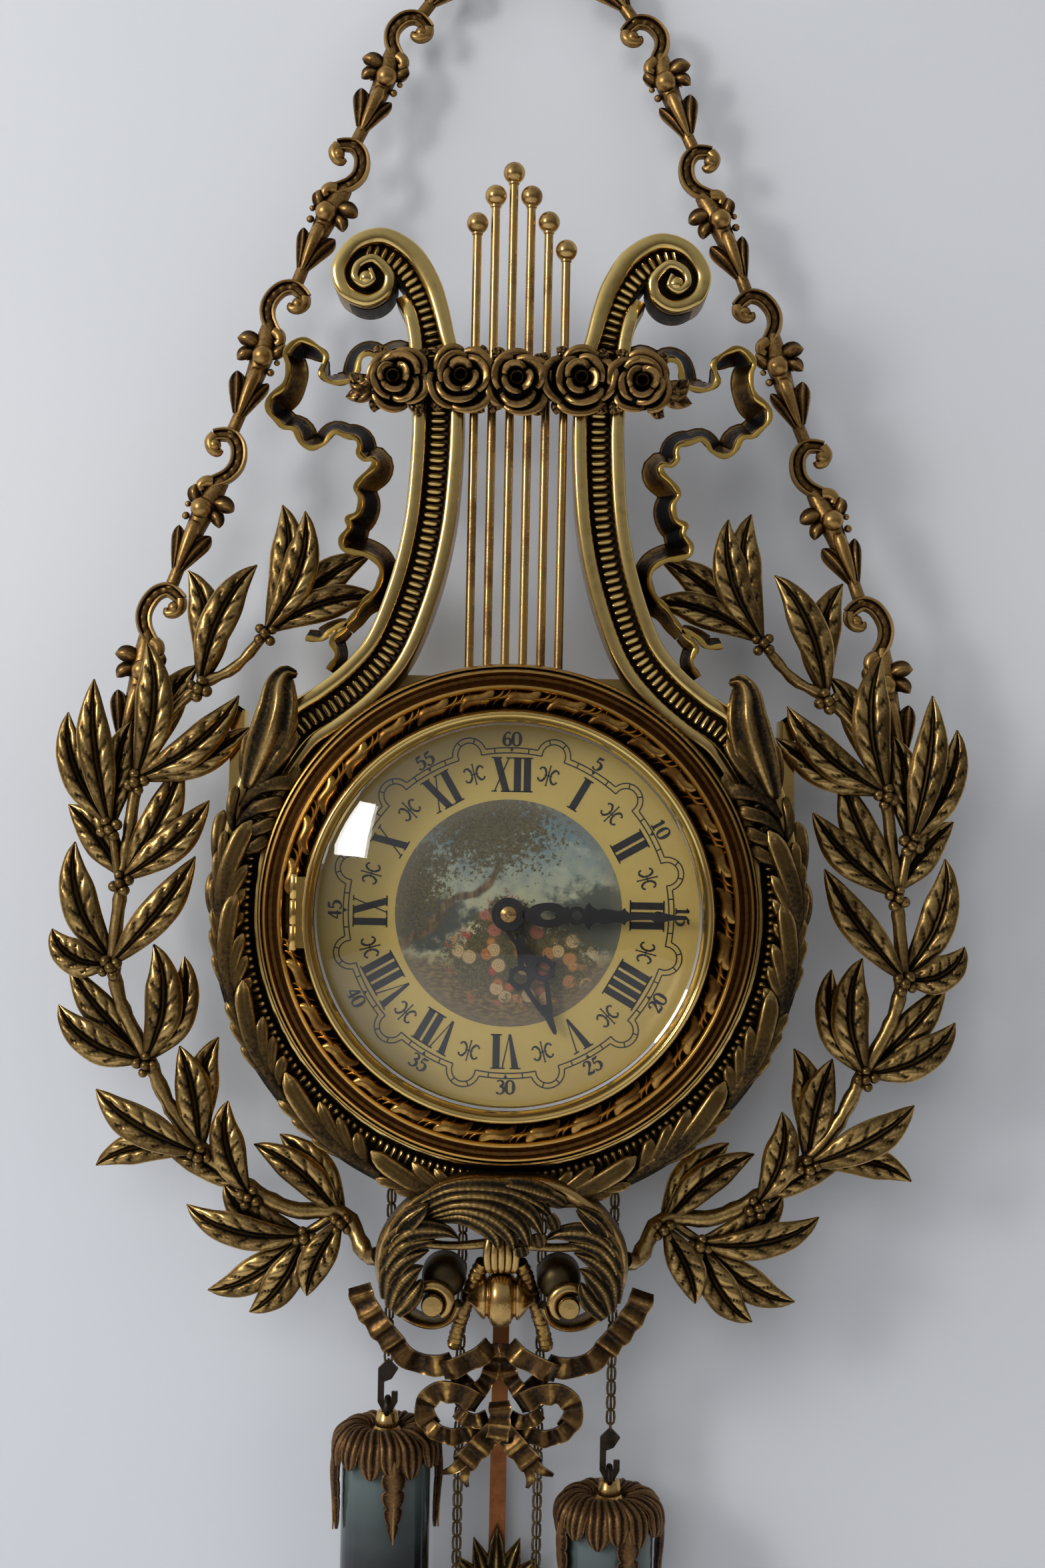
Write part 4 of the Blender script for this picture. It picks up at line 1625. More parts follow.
def buildDial():
    d = dial
    casting = Casting()
    for k, text in enumerate(["XII", "I", "II", "III", "IIII", "V", "VI", "VII", "VIII", "IX", "X", "XI"]):
        romanNumeral(casting, text, k * 30)
        minutes = 60 if k == 0 else k * 5
        arabicNumber(casting, str(minutes), k * 30, 4 <= k <= 8)
        smallFleur(casting, k * 30 + 15)
    minuteTrack(casting)
    place("dial_printing", casting.mesh("printing", [blackEnamel], 30), "clock", "black_hands")
    disc = Casting()
    turned(disc, [(0.01, d["front"] - 0.1, 1), (d["picture"], d["front"] - 0.1, 1),
                  (d["picture"], d["front"] + 0.1, 1), (0.01, d["front"] + 0.1, 1)], 160, closed=False)
    place("painted_centre", disc.mesh("painted centre", [paintedCentre()], 30), "clock", "dial_gold")


buildDial()
print("dial ready")


# Hands, drawn pointing up and then turned to a quarter past five, the time that they show at rest
hands = {"minuteOut": 88.0, "hourOut": 84.0, "thick": 1.0, "minuteTurn": 90.0, "hourTurn": 157.5}


def mirroredOutline(rightSide, top):
    return rightSide + [(0, top)] + [(-x, z) for x, z in reversed(rightSide)]


def buildHands():
    h = hands
    black = Casting()
    o, t = h["minuteOut"], h["thick"]

    def ring(casting, x, z, outer, inner, back, front):
        turned(casting, [(inner, back, 0.6), (outer, back, 0.6), (outer, front - 0.2, 0.7),
                         (outer - 0.2, front, 0.9), (inner + 0.2, front, 0.9), (inner, front - 0.2, 0.7)],
                         32, x, z)

    # minute hand: hub, pierced bulb, ring, cross, bar, barbs and long point
    turned(black, [(0.01, o, 0.5), (7.2, o, 0.6), (7.2, o + t - 0.2, 0.8), (7.0, o + t, 1),
                   (5.4, o + t, 0.9), (5.2, o + t + 0.25, 0.9), (0.01, o + t + 0.25, 0.8)], 40,
                   closed=False)
    bulb = [(1.6, 6), (2.4, 8.4), (4.2, 11), (5.2, 15), (5.3, 19), (4.4, 22.2), (3.4, 23.6), (4.1, 25.4),
            (2.6, 26)]
    hole = [(0, 13.6), (1.2, 14.4), (1.9, 16.2), (1.6, 18.6), (0.9, 20.2), (0, 19.4)]
    rightEdge = lineThrough(hole, 4)
    leftEdge = [(-x, z) for x, z in reversed(rightEdge[1:-1])]
    plate(black, [mirroredOutline(lineThrough(bulb, 4), 26), rightEdge + leftEdge], o, o + t, 0.8)
    ring(black, 0, 29.2, 4.0, 2.1, o + 0.02, o + t - 0.03)
    flourish = [(1.8, 31.5), (3.2, 32.6), (4.6, 33.2), (5.9, 34.6), (4.4, 35.3), (3.3, 36.8), (2.6, 38.4),
                (3.3, 40), (3.0, 43), (2.4, 46.5), (2.5, 48.2), (3.8, 49.6), (2.4, 50.4), (1.5, 51.8),
                (1.2, 56), (1.1, 61),
                (2.6, 63.2), (2.4, 65), (1.5, 68), (0.95, 72), (0.85, 75.6)]
    plate(black, [mirroredOutline(flourish, 76.8)], o + 0.03, o + t - 0.02, 0.8)
    minute = Casting()
    minute.join(black, Matrix.Rotation(math.radians(h["minuteTurn"]), 4, "Y"))
    nut = Casting()
    turned(nut, [(0.01, o + t, 0.6), (3.5, o + t, 0.7), (3.5, o + t + 0.9, 0.9), (3.1, o + t + 1.3, 1),
                 (1.6, o + t + 1.7, 0.9), (1.2, o + t + 2.2, 1), (0.01, o + t + 2.4, 1)], 24, closed=False)
    minute.join(nut, kind=1)
    place("minute_pointer", minute.mesh("minute pointer", [blackEnamel, rodBrass], 40), "minute_hand",
          "black_hands", ["minute_hand"])
    # hour hand: hub, two bowed bars, twin rings and a point
    black = Casting()
    o = h["hourOut"]
    ring(black, 0, 0, 6.2, 4.2, o, o + t)
    for side in (-1, 1):
        bar = [(side * 3.2, 4.5, 2.3), (side * 2.4, 10, 1.8), (side * 1.3, 14.5, 2.0),
               (side * 1.9, 19, 2.6), (side * 3.2, 23, 2.8)]
        pathStroke(black, bar, o, o + t)
        ring(black, side * 5.1, 27.4, 5.2, 3.0, o + 0.02, o + t - 0.03)
        for a in (35, 95, 150):
            ball(black, side * (5.1 + 5.3 * math.sin(math.radians(a))), o + t / 2,
                 27.4 + 5.3 * math.cos(math.radians(a)), 0.95, 0.8, 10, flat=0.5)
        pathStroke(black, [(side * 4.6, 32, 2.1), (side * 3.9, 36, 2.2), (side * 2.6, 41, 2.3),
                           (side * 1.2, 46, 2.3)], o, o + t)
    plate(black, [mirroredOutline([(0.6, 9), (1.2, 12), (0.9, 16), (1.6, 20.5), (1.0, 24), (0.5, 30)], 31)],
          o + 0.03, o + t - 0.02)
    plate(black, [mirroredOutline([(0.9, 42), (2.0, 44.5), (1.7, 48), (1.3, 52), (0.9, 54.8)], 55.8)],
          o + 0.03, o + t - 0.02)
    hour = Casting()
    hour.join(black, Matrix.Rotation(math.radians(h["hourTurn"]), 4, "Y"))
    place("hour_pointer", hour.mesh("hour pointer", [blackEnamel], 40), "hour_hand", "black_hands",
          ["hour_hand"])


buildHands()
print("hands ready")


# Garland of five roses
garland = {"z": 228, "spacing": 25.7, "radius": 13.6, "back": 87.3}


# A cupped petal round a centre: its rim thick, rolled outward and rubbed
def rosePetal(casting, x, out, z, bearing, radius, half, base, height, thick):
    rows = []
    for k in range(15):
        u = -1 + 2 * k / 14
        a = math.radians(bearing + u * half)
        fall = 1 - 0.32 * abs(u) ** 2.4
        ring = []
        # the section runs up the outer face, over the rim and down the inner face
        for r, v, w in ((-0.1, 0.0, 0.04), (0.35, 0.45, 0.22), (0.7, 0.8, 0.5), (0.98, 0.98, 1),
                        (0.8, 1.08, 1), (0.45, 1.02, 0.85), (0.1, 0.8, 0.3), (-0.3, 0.45, 0.1),
                        (-0.8, 0.0, 0.03)):
            rr = radius * fall ** 0.5 * (0.97 + 0.05 * math.sin(2.3 * u + bearing))
            rr += (r - 0.5) * thick * (1 + v)
            up = base + height * fall * v
            ring.append((spot(x + rr * math.sin(a), out + up, z + rr * math.cos(a)),
                         w * (0.75 + 0.25 * (1 - u * u))))
        rows.append(ring)
    casting.grid(rows)


def buildGarland():
    g = garland
    chance = random.Random(11)
    casting = Casting()
    bar = 2 * g["spacing"] + 5
    plate(casting, [[(-bar, g["z"] - 8), (bar, g["z"] - 8), (bar, g["z"] + 8), (-bar, g["z"] + 8)]],
          g["back"], g["back"] + 3, 0.02)
    turnTo = (-34, 6, -4, 10, 16)
    for i in range(5):
        lean = turnTo[i] / 10
        x = (i - 2) * g["spacing"] + (0, 0.6, -0.6, 0.3, 0)[i]
        z = g["z"] + (-0.5, 0.6, -0.2, 0.4, -0.4)[i]
        r = g["radius"] * (0.96, 1.02, 1.0, 1.05, 0.95)[i]
        start = chance.uniform(0, 360)
        turned(casting, [(0.01, g["back"] + 1, 0.02), (r * 0.86, g["back"] + 1, 0.02),
                         (r * 0.8, g["back"] + 4, 0.04), (r * 0.5, g["back"] + 6.5, 0.05),
                         (0.01, g["back"] + 7, 0.04)], 24, x, z, closed=False)
        for share, count, half, base, height, thick, slide in ((0.95, 4, 46, 0.0, 6.0, 2.6, 0),
                (0.68, 3, 58, 2.4, 7.0, 2.4, 0.5), (0.42, 3, 60, 4.6, 6.6, 2.0, 1.0)):
            start += 47
            for k in range(count):
                rosePetal(casting, x + slide * lean * 0.5, g["back"], z + slide * 0.3,
                          start + 360 / count * k, share * r * chance.uniform(0.9, 1.08),
                          half * chance.uniform(0.85, 1.1), base + 0.8 * (k % 2),
                          height * chance.uniform(0.86, 1.04), thick)
        turned(casting, [(1.5, g["back"] + 5, 0.0), (1.8, g["back"] + 10.2, 0.4),
                         (2.6, g["back"] + 11.2, 1), (3.2, g["back"] + 10, 0.5),
                         (3.3, g["back"] + 5, 0.02)], 20, x + lean * 0.6, z + 0.4)
        for a in (-38, 40, 142, 220):
            laurelLeaf(casting, x + 9 * math.sin(math.radians(a)), g["back"] + 2.6,
                       z + 9 * math.cos(math.radians(a)), a + chance.uniform(-12, 12), 8.5, 6.5, 1.6, 0.8,
                       0.6, 3, 14, 8)
    for side in (-1, 1):
        for turn, long in ((-32, 17), (26, 19)):
            laurelLeaf(casting, side * (2 * g["spacing"] + 6), g["back"] + 2.4, g["z"] - 2 + turn / 8,
                       side * (98 + turn), long, 9.5, 2.2, 1.5 * side, 1.5, 3, 20, 10)
    place("rose_swag", casting.mesh("rose swag", [roseBronze]), "clock", "gilt_bronze", ["rose_garland"])


buildGarland()
print("garland ready")


# Ribbons: wavy strips on edge; the front edge follows the route and the back edge leans to one side
ribbonWave = {
    "out": 68, "deep": 11, "thick": 2.5,
    "route": [(-46, 242.5), (-49.5, 241), (-53, 243.5), (-57.5, 241.2), (-62, 240.2), (-65.5, 242),
              (-68.5, 241), (-69.8, 238.4), (-70.6, 234), (-73, 230.4), (-78, 228.8), (-83, 229.4),
              (-86.6, 232.8),
              (-85.4, 237), (-84.4, 240.4), (-86.4, 243.4), (-91.4, 246.8), (-95.6, 247.9), (-99.6, 245.8),
              (-102.6, 241.4), (-101.4, 236.6), (-101.6, 231.6), (-103.6, 227), (-108.2, 223.2),
              (-109.9, 219.2), (-109, 215.2), (-105.4, 211.6), (-102.4, 209), (-98, 208.4), (-96.2, 205.4),
              (-94, 201.8), (-89.8, 200.2), (-84.6, 202.2), (-82.2, 205.6), (-79.8, 207.4),
              (-75.8, 206), (-70.8, 204.8), (-69.6, 202), (-69.9, 198.6), (-67, 195.7), (-63.4, 195.9),
              (-63.2, 193), (-68.4, 187.8), (-70.9, 183.4), (-68.6, 178.8), (-69.8, 172.8),
              (-74, 170.2), (-73.4, 166.2), (-76.6, 161.6), (-76, 157), (-71, 155), (-66, 154.4),
              (-61.2, 151.6), (-58.8, 147.6), (-59.4, 142.8), (-61.6, 138.4), (-66, 134), (-70, 128.5),
              (-74, 123)],
    "leaning": [(0, 6), (0.08, 7), (0.17, 6), (0.2, 2), (0.24, -4), (0.3, -7), (0.42, -8), (0.55, -6),
                (0.62, -7), (0.7, -7), (0.82, -8.5), (0.92, -6), (1, -3)],
    "tails": [[(-73, 124), (-79, 121.5), (-84, 117), (-91, 117.5)],
              [(-73.5, 123), (-79.5, 117), (-77.5, 110.5), (-81, 104)]],
}


# The values between the pairs of a short table
def between(table, t):
    for (t0, v0), (t1, v1) in zip(table, table[1:]):
        if t <= t1:
            return v0 + (v1 - v0) * (t - t0) / (t1 - t0)
    return table[-1][1]


def standingStrip(casting, line, out, deep, thick, steps, leaning):
    path = evenly([(x, out, z) for x, z in line], steps)
    rows = []
    for i, at in enumerate(framesAlong(path)):
        here, side = at[:2]
        lean = between(leaning, i / steps)
        swell = 1 + 0.16 * math.sin(i * 0.53) + 0.1 * math.sin(i * 0.21)
        glow = 0.22 + 0.2 * math.sin(i * 0.117 + 1) + 0.12 * math.sin(i * 0.31)
        ring = []
        half = [(-0.5, 0.96, 0.5), (-0.3, 1, 0.75), (-0.26, 0.8, glow + 0.1), (-0.24, 0.5, glow),
                (-0.28, 0.25, glow), (-0.42, 0.12, 0.6), (-0.5, 0.05, 1), (-0.28, 0, 1)]
        for u, v, w in half + [(-u, v, w) for u, v, w in reversed(half)]:
            inward = Vector((0, (v - 0.5) * deep * mm, 0))
            ring.append((here + side * ((u * thick * swell + lean * v) * mm) + inward, w))
        rows.append(ring)
    casting.grid(rows)


def buildRibbons():
    r = ribbonWave
    casting = Casting()
    standingStrip(casting, r["route"], r["out"], r["deep"], r["thick"], 330, r["leaning"])
    for tail, lean in zip(r["tails"], (5, -4)):
        table = [(0, lean * 0.5), (0.5, lean), (1, lean * 0.7)]
        standingStrip(casting, tail, r["out"], r["deep"], r["thick"], 30, table)
    placePair("ribbon_strip", casting, ribbonBronze, "gilt_bronze", "ribbon")


buildRibbons()


# Bow of fluted ribbon under the cartouche, with two mottled stems above it
bow = {
    # strips of the left half: points of (x, out, z), width and the number of flutes
    "strips": [
        ([(-63, 61, -167), (-60.5, 63, -174), (-55, 62, -183), (-49, 60, -191), (-45.5, 57, -196)], 11, 4),
        ([(-47, 56, -194), (-42, 55, -200), (-35, 54, -203.5), (-27, 57, -203), (-22, 60, -201)], 9.5, 2),
        ([(-26, 60, -205), (-18, 63, -201.5), (-9, 61, -197.5), (-3.4, 57, -193)], 9, 2),
        ([(-4, 57, -194), (-3.4, 56, -202), (-6, 57, -210), (-12, 59, -215.5)], 7.5, 3),
        ([(-21, 60, -204), (-17, 57, -209), (-13, 57, -213), (-9, 59, -217)], 7, 2),
        ([(-8, 61, -219), (-16, 64, -214), (-25, 64, -212.5), (-31.5, 61, -217), (-33, 57, -224.5),
          (-29.5, 56, -231)], 9.5, 4),
        ([(-32, 57, -229), (-25, 57, -234), (-16, 59, -233.5), (-8, 61, -229.5)], 7.6, 3),
        ([(-5, 62, -224), (-12, 62, -226), (-19, 61, -222)], 6.5, 2),
        ([(2, 62, -226), (-5, 64, -233), (-11, 63, -240), (-16.5, 60, -246.5)], 10.5, 3),
    ],
    "forks": [([(-14, 60, -243), (-19, 60, -247.5), (-25, 57, -251)], 6.4),
              ([(-12.5, 60, -244), (-14.5, 60, -251), (-13, 57, -257)], 6.0)],
    "stem": [(-8, 84, -150, 3.1), (-11.0, 80, -158, 3.3), (-14.0, 75, -168, 3.0), (-17.4, 68, -179, 3.1),
             (-20.6, 61, -193, 3.0)],
    "thick": 1.6, "swell": 2.6,
}


# A flat ribbon with rounded flutes across it: bright on the crests, dark in the troughs, with a thin
# rubbed edge
def flutedRibbon(casting, line, width, flutes, thick, swell, taper=0.0):
    steps, across = max(flutes * 10, 14), 10
    path = evenly(line, steps)
    rows = []
    for i, at in enumerate(framesAlong(path)):
        t = i / steps
        crest = 0.5 - 0.5 * math.cos(2 * math.pi * flutes * t)
        half = width / 2 * (1 - taper * t) * (0.9 + 0.1 * crest)
        ring = []
        for k in range(across + 1):
            u = -1 + 2 * k / across
            edge = fade(0.82, 0.97, abs(u))
            rise = swell * (crest - 0.5) * (1 - 0.25 * u * u) + 0.35 * edge
            shine = 0.5 + 0.5 * math.sin(2.1 * math.floor(flutes * t + 0.5) + width)
            wear = max(0.26 + (0.22 + 0.42 * shine) * crest ** 1.5 * (1 - 0.4 * abs(u)), 0.75 * edge)
            ring.append((beside(at, u * half, rise), wear))
        for u in (1, 0.4, -0.4, -1):
            rise = swell * (crest - 0.5) * (1 - 0.25 * u * u) - thick
            ring.append((beside(at, u * half, rise), 0.15))
        rows.append(ring)
    casting.grid(rows)


def buildBow():
    b = bow
    half = Casting()
    for line, width, flutes in b["strips"]:
        flutedRibbon(half, line, width, flutes, b["thick"], b["swell"])
    for line, width in b["forks"]:
        flutedRibbon(half, line, width, 1, b["thick"], 1.0, taper=0.75)
    tube(half, b["stem"], 50, 12, 0.1, 0.75, knots=1)
    whole = half
    whole.mirror()
    flutedRibbon(whole, [(0, 64, -216), (0.6, 66.5, -222), (0, 66, -229), (-1, 63, -235)], 10, 3, 3.5, 1.5)
    place("bow_and_swag", whole.mesh("bow", [bowBronze]), "clock", "gilt_bronze", ["ribbon_bow"])


buildBow()
print("ribbons ready")


# Hanging chains of cast links and their ring
hangingChain = {
    "reach": 206, "ringZ": 487, "footShare": 0.301, "ringRadius": 17.6, "ringTube": 2.85, "top": 8,
    "foot": 50.3,
    "joints": [(0.0524, 0.956), (0.247, 0.819), (0.3835, 0.673), (0.505, 0.514), (0.636, 0.351),
               (0.757, 0.183), (0.859, 0)],
}


# One link of a given length, drawn down from its collar; its scroll bulges to the side of the sign
def castLink(length, side):
    casting = Casting()
    s = side

    def p(along, across, out, *more):
        return (across * s, out, -along * length) + more

    # C-scroll: a band with raised rims, a beaded channel and a curled knob at each end
    band = [(0.035, -6.6), (0.012, -3.6), (0.0, 0.6), (0.035, 4.8), (0.10, 7.2), (0.17, 7.6), (0.235, 5.6),
            (0.285, 2.0), (0.31, -0.4)]
    path = evenly([p(t, a, 1.2) for t, a in band], 44)
    rows = []
    for i, at in enumerate(framesAlong(path)):
        t = i / 44
        wide = 3.1 + 0.7 * math.sin(math.pi * t)
        bead = 0.35 * math.cos(2 * math.pi * t * 9) if 0.2 < t < 0.85 else 0
        ring = []
        half = [(-1, 0, 0.5), (-0.98, 1.6, 0.8), (-0.78, 2.9, 1), (-0.56, 2.7, 0.8), (-0.42, 1.2, 0.2),
                (-0.2, 1.5 + bead, 0.6)]
        section = half + [(-u, v, w) for u, v, w in reversed(half)] + [(0.7, -2, 0.3), (-0.7, -2, 0.3)]
        for u, v, w in section:
            ring.append((beside(at, u * wide, v), w))
        rows.append(ring)
    casting.grid(rows)
    tube(casting, [p(0.03, -6.4, 1.6, 2.6), p(0.075, -7.2, 1.8, 2.8), p(0.115, -5.0, 1.8, 2.7),
                   p(0.125, -2.2, 1.8, 2.0), p(0.10, -1.2, 1.6, 1.2)], 20, 12, 0.5, 1)
    ball(casting, -4.6 * s, 2.6, -0.088 * length, 2.9, 0.9, 14)
    tube(casting, [p(0.30, 0.4, 1.4, 3.0), p(0.315, -2.6, 1.8, 2.9), p(0.35, -3.8, 2.0, 2.5),
                   p(0.375, -2.4, 2.0, 1.8)], 14, 12, 0.5, 1)
    # leafy body with a ball
    tube(casting, [p(0.27, 4.2, 0, 3.2), p(0.36, 2.6, 0, 4.6), p(0.46, 1.4, 0, 5.2), p(0.56, 0.8, 0, 4.6),
                   p(0.68, 0.4, 0, 4.0), p(0.82, 0, 0, 3.0), p(0.93, 0, 0, 2.9), p(0.99, 0, 0, 3.1)], 40,
                   14, 0.35, 0.8)
    ball(casting, 0.4 * s, 4.0, -0.475 * length, 5.0, 0.95, 18, flat=0.95)
    # side petals, folded: two wide ones on the scroll's side, a narrower pair and a knob opposite
    carvedLeaf(casting, [p(0.42, 4.4, 1.0), p(0.41, 9.6, 3.6), p(0.425, 14.0, 2.0)], 8.4, flutes=2,
               relief=1.2, camber=1.6, steps=16, across=12, base=0.6, widest=0.4, tip=0.45)
    carvedLeaf(casting, [p(0.47, 4.4, 1.0), p(0.50, 8.6, 3.2), p(0.545, 10.6, 1.4)], 7.0, flutes=2,
               relief=1.0, camber=1.4, steps=14, across=10, base=0.6, widest=0.4, tip=0.5)
    carvedLeaf(casting, [p(0.45, -2.6, 1.0), p(0.40, -5.6, 3.0), p(0.355, -6.4, 1.6)], 6.4, flutes=2,
               relief=1.0, camber=1.4, steps=14, across=10, base=0.6, widest=0.4, tip=0.5)
    ball(casting, -6.4 * s, 1.6, -0.475 * length, 1.5, 0.9, 8)
    ball(casting, -5.4 * s, 1.4, -0.545 * length, 1.9, 0.8, 8)
    # calyx: a ridged stem between two leaves that flare at the ball's end
    carvedLeaf(casting, [p(0.56, 0.2, 4.4), p(0.70, 0.2, 4.2), p(0.88, 0, 2.8)], 6.4, flutes=1, relief=0.6,
               camber=2.0, steps=18, across=10, base=0.7, widest=0.25, tip=0.6)
    carvedLeaf(casting, [p(0.87, -1.6, 1.6), p(0.74, -3.6, 2.6), p(0.615, -6.6, 1.2)], 6.2, flutes=3,
               relief=0.9, camber=1.2, steps=20, across=10, base=0.35, widest=0.7, tip=0.5)
    carvedLeaf(casting, [p(0.86, 1.8, 1.6), p(0.74, 4.6, 3.0), p(0.615, 8.6, 1.6)], 8.0, flutes=3,
               relief=1.1, camber=1.4, steps=20, across=10, base=0.35, widest=0.7, tip=0.5)
    return casting


def buildHangingChains():
    h = hangingChain
    footZ = h["reach"] * h["footShare"]
    joints = []
    for i, (across, up) in enumerate(h["joints"]):
        joints.append((-across * h["reach"], h["top"] + (h["foot"] - h["top"]) * i / 6,
                       footZ + up * (h["ringZ"] - footZ)))
    chain = Casting()
    for i, (a, b) in enumerate(zip(joints, joints[1:])):
        start, end = spot(*a), spot(*b)
        down = (end - start).normalized()
        side = roomward.cross(down).normalized()
        front = down.cross(side)
        if front.y > 0:
            side, front = -side, -front
        turn = Matrix((side, -front, -down)).transposed().to_4x4()
        turn.translation = start
        chain.join(castLink((end - start).length * 1000, -1 if i % 2 else 1), turn)
    placePair("cast_chain", chain, linkBronze, "coppery_bronze", "hanging_chain")
    ring = Casting()
    loop = [(h["ringRadius"] * math.sin(2 * math.pi * k / 24), h["top"],
             h["ringZ"] + h["ringRadius"] * math.cos(2 * math.pi * k / 24), h["ringTube"])
             for k in range(24)]
    tube(ring, loop, 72, 14, 0.5, 0.9, loop=True)
    place("wall_ring", ring.mesh("ring", [linkBronze]), "clock", "coppery_bronze", ["suspension_ring"])


buildHangingChains()
print("hanging chains ready")


# Weights: gloss shells with leaf caps, steel hooks and chains
weights = {"radius": 20, "length": 150}


def hangingDrip(casting, x, out, z, bearing, radius, length, width):
    b = math.radians(bearing)
    line = []
    for t, bulge in ((0, -1.6), (0.08, 0.6), (0.3, 1.3), (0.6, 0.7), (0.9, 0.2), (1, 0.3)):
        rr = radius + bulge
        line.append((x + rr * math.sin(b), out + rr * math.cos(b), z - length * t))
    face = Vector((math.sin(b), -math.cos(b), 0))
    carvedLeaf(casting, line, width, thick=1.0, flutes=2, relief=1.3, camber=1.3, steps=40, across=14,
               base=0.7, widest=0.3, tip=0.7, lobes=5, notch=0.34, bright=0.8, facing=face)
    ridge = [(px + 1.9 * math.sin(b), po + 1.9 * math.cos(b), pz, 0.75 * (1.1 - 0.6 * k / 5)) for k,
             (px, po, pz) in enumerate(line)]
    tube(casting, ridge, 20, 6, 0.5, 0.9)


def buildWeight(name, node, x, out, top, front):
    w = weights
    shell = Casting()
    low = top - w["length"]
    r = w["radius"]
    wall = [(r, top - drop, shade) for drop, shade in ((66, 0.04), (54, 0.12), (44, 0.36), (32, 0.68),
            (18, 0.9), (1.2, 0.98))]
    turnedUpright(shell, [(0.01, low, 0.04), (r - 3, low, 0.04), (r - 0.8, low + 0.5, 0.04),
                          (r, low + 2, 0.04)] + wall + [(r - 1, top, 0.98), (0.01, top, 0.98)], x, out, 72,
                          closed=False)
    place(name + "_shell", shell.mesh(name + " shell", [shellGloss], 40), name, "dark_gloss_shell",
          [node + "_weight_shell"])
    cap = Casting()
    turnedUpright(cap, [(20.2, top - 7, 0.1), (21.0, top - 7, 0.2), (22.0, top - 4, 0.3),
                        (22.2, top - 1, 0.3), (19.5, top + 2.6, 0.2), (14, top + 4.2, 0.2),
                        (9, top + 3.0, 0.1),
                        (7.4, top + 1.8, 0.1), (0.01, top + 1.8, 0.1), (0.01, top - 0.6, 0.1),
                        (19.6, top - 0.8, 0.1)], x, out, 48, closed=False)
    chance = random.Random(7)
    for k in range(14):
        a = math.radians(k * 360 / 14 + chance.uniform(-4, 4))
        b = a + math.radians(9)
        line = [(x + 7.4 * math.sin(a), out + 7.4 * math.cos(a), top + 1.6),
                (x + 10.5 * math.sin(a), out + 10.5 * math.cos(a), top + 4.6),
                (x + 16 * math.sin((a + b) / 2), out + 16 * math.cos((a + b) / 2), top + 5.0),
                (x + 21.4 * math.sin(b), out + 21.4 * math.cos(b), top + 1.2),
                (x + 23.0 * math.sin(b), out + 23.0 * math.cos(b), top - 5),
                (x + 22.6 * math.sin(b), out + 22.6 * math.cos(b), top - 10 - 2.5 * (k % 2))]
        facing = Vector((0.55 * math.sin(b), -0.55 * math.cos(b), 0.83))
        carvedLeaf(cap, line, 11.5, thick=1.0, flutes=4, relief=0.9, camber=1.6, steps=30, across=18,
                   base=0.22, widest=0.72, tip=0.45, bright=0.85, facing=facing)
    for bearing in (front, front - 86, front + 76, front + 178):
        hangingDrip(cap, x, out, top - 2, bearing, 21.8, 38, 11)
    place(name + "_cap", cap.mesh(name + " cap", [capBronze]), name, "gilt_bronze", [node + "_weight_cap"])
    collar = Casting()
    turnedUpright(collar, [(0.01, top + 1.4, 0.5), (7.6, top + 1.4, 0.6), (7.8, top + 2.6, 0.9),
                           (5.6, top + 4.6, 0.7), (5.2, top + 5, 0.4), (5.4, top + 8.0, 0.9),
                           (5.0, top + 8.6, 0.7), (4.6, top + 11.0, 0.9),
                           (3.6, top + 11.8, 1), (0.01, top + 12, 0.8)], x, out, 32, closed=False)
    eye = [(x, out + 4 * math.sin(2 * math.pi * k / 12), top + 13 + 4 * math.cos(2 * math.pi * k / 12),
            1.5) for k in range(12)]
    tube(collar, eye, 36, 10, 0.5, 0.8, loop=True, kind=1)
    place(name + "_collar", collar.mesh(name + " collar", [rodBrass, darkSteel]), name, "polished_brass")


def buildWeights():
    for name, node in (("going_weight", "going"), ("strike_weight", "strike")):
        low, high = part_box(node + "_weight_shell")
        x, out = (low[0] + high[0]) / 2 / mm, -(low[1] + high[1]) / 2 / mm
        buildWeight(name, node, x, out, high[2] / mm, 12 if node == "going" else 20)


buildWeights()
print("weights ready")


# Chains on which the weights hang
def chainLink():
    casting = Casting()
    loop = []
    for k in range(12):
        a = 2 * math.pi * k / 12
        x = math.cos(a) * 1.6 + (1.65 if math.cos(a) > 0.1 else (-1.65 if math.cos(a) < -0.1 else 0))
        loop.append((x, math.sin(a) * 1.72))
    rows = []
    for k in range(12):
        x, y = loop[k]
        ax, ay = loop[(k + 1) % 12]
        bx, by = loop[k - 1]
        tx, ty = ax - bx, ay - by
        long = math.hypot(tx, ty)
        nx, ny = ty / long, -tx / long
        ring = []
        for m in range(6):
            turn = 2 * math.pi * m / 6
            ring.append((Vector(((x + nx * 0.58 * math.cos(turn)) * mm,
                    (y + ny * 0.58 * math.cos(turn)) * mm, 0.58 * math.sin(turn) * mm)), 0.6))
        rows.append(ring)
    casting.grid(rows, loop=True)
    return casting.mesh("chain link", [])


def buildStrands():
    for node, body in (("going_chain_fall", "going_weight"), ("strike_chain_fall", "strike_weight"),
                       ("going_chain_free", "going_free_chain"),
                       ("strike_chain_free", "strike_free_chain")):
        low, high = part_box(node)
        x, out = (low[0] + high[0]) / 2 / mm, -(low[1] + high[1]) / 2 / mm
        foot = low[2] / mm + (4 if node.endswith("free") else 1)
        mesh = repeatAlong(node + " links", [[(x, out, high[2] / mm - 1), (x, out, foot)]], chainLink(),
                           chainMetal, 6.35 / 2 * 1.02, turn=math.pi / 2)
        place(node + "_links", mesh, body, "dark_steel", [node])


buildStrands()


# Pendulum: the bob with its leaf palmette
pendulum = {"out": 12, "z": -355, "radius": 37, "half": 7, "top": -290}


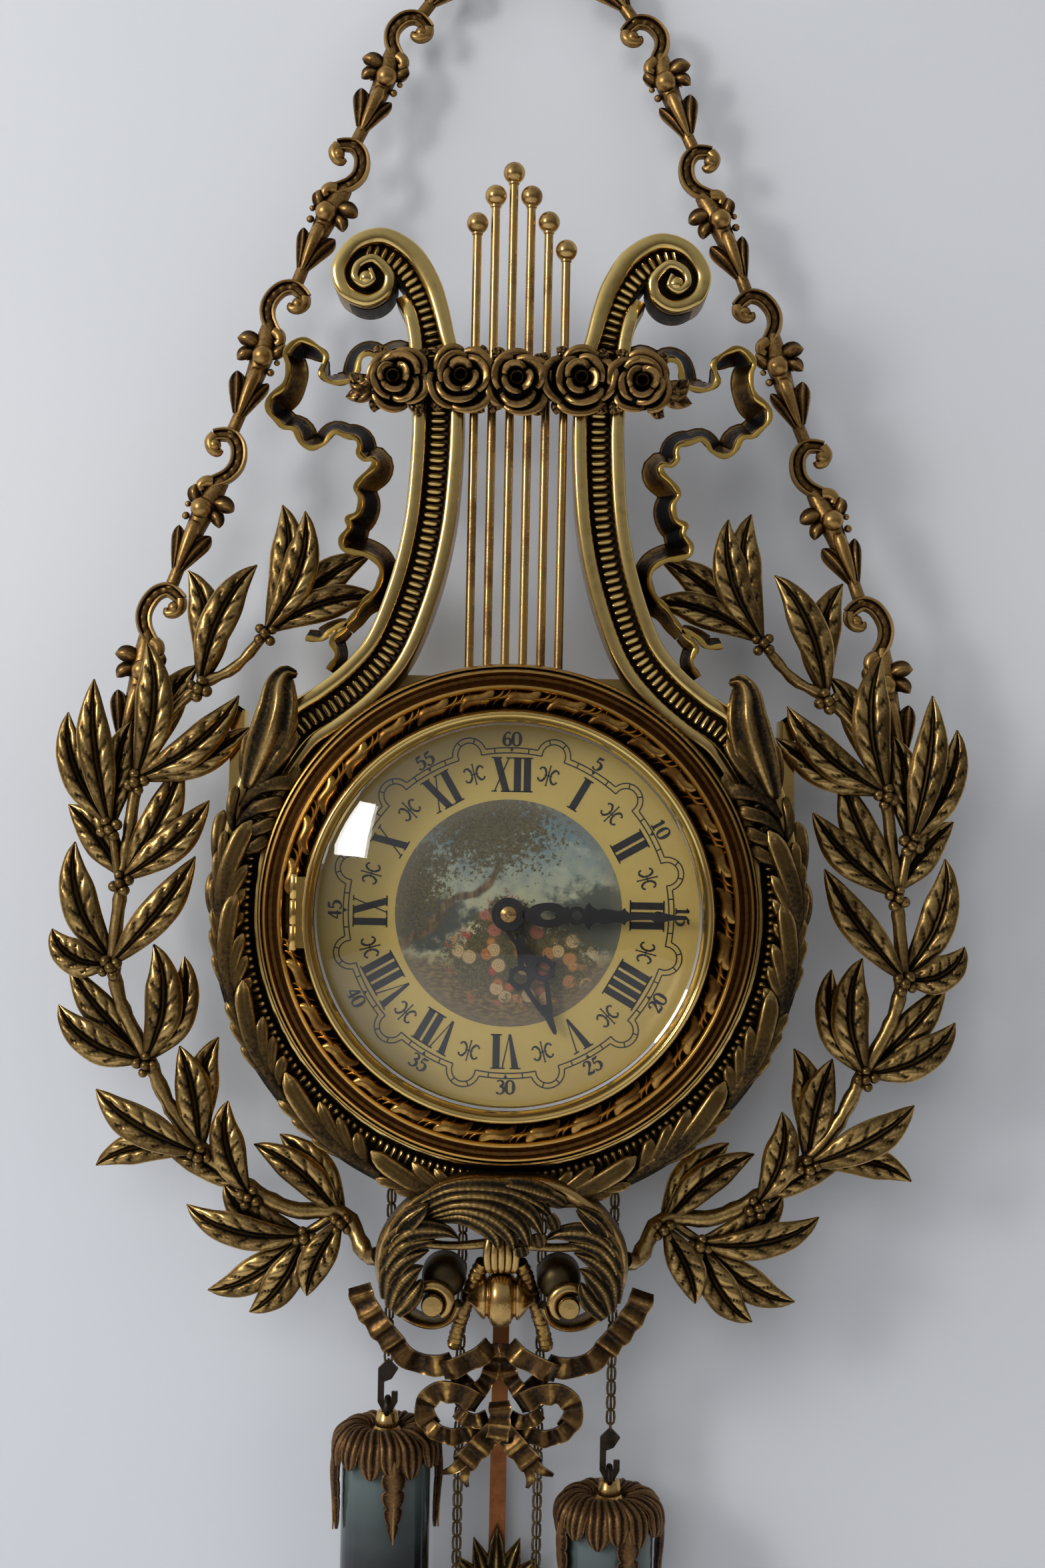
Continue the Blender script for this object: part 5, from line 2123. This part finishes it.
def buildBob():
    p = pendulum
    casting = Casting()
    profile = [(0.01, p["out"] - p["half"], 0.5)]
    for k in range(1, 12):
        t = k / 12
        profile.append((p["radius"] * math.sin(t * math.pi / 2),
                        p["out"] - p["half"] * math.cos(t * math.pi / 2), 0.7))
    profile += [(p["radius"], p["out"] - 0.6, 0.9), (p["radius"], p["out"] + 0.6, 1)]
    for k in range(11, 0, -1):
        t = k / 12
        profile.append((p["radius"] * math.sin(t * math.pi / 2),
                        p["out"] + p["half"] * math.cos(t * math.pi / 2) + (0.5 if 0.6 < t < 0.8 else 0),
                        1 if 0.6 < t < 0.8 else 0.6))
    profile.append((0.01, p["out"] + p["half"], 0.6))
    turned(casting, profile, 96, 0, p["z"], closed=False)
    foot = p["z"] + p["radius"] - 8
    for bearing, share in ((-62, 0.62), (-38, 0.8), (-18, 0.92), (0, 1.0), (18, 0.92), (38, 0.8),
                           (62, 0.62)):
        b = math.radians(bearing)
        long = (p["top"] - foot) * share
        line = [(0, p["out"] + 2, foot), (math.sin(b) * long * 0.5, p["out"] + 5.5,
                foot + math.cos(b) * long * 0.5), (math.sin(b) * long * (1.05 if bearing else 1),
                        p["out"] + 4, foot + math.cos(b) * long)]
        carvedLeaf(casting, line, 10.5, flutes=3, relief=1.0, camber=1.4, steps=24, across=12, base=0.35,
                   tip=0.9)
    place("bob", casting.mesh("bob", [giltBronze], 40), "pendulum", "gilt_bronze", ["pendulum_bob"])


buildBob()


# Metals of the CAD pieces that stay
carried = {
    "case_shell": caseBrass, "case_back": caseBrass, "dial_plate": dialGold,
    "bezel_hinge_pin": polishedBrass, "pendulum_rod": rodCopper,
    "pendulum_spring": darkSteel, "anchor_and_crutch": darkSteel, "hammer": darkSteel,
    "rating_nut": rodBrass, "bell": polishedBrass,
    "going_weight_hook": darkSteel, "strike_weight_hook": darkSteel,
}
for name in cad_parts:
    shown = bpy.data.objects.get(name)
    if shown is None or shown.type != "MESH":
        continue
    metal = carried.get(name, movementBrass)
    shown.data.materials.clear()
    shown.data.materials.append(metal)
print("metals set")
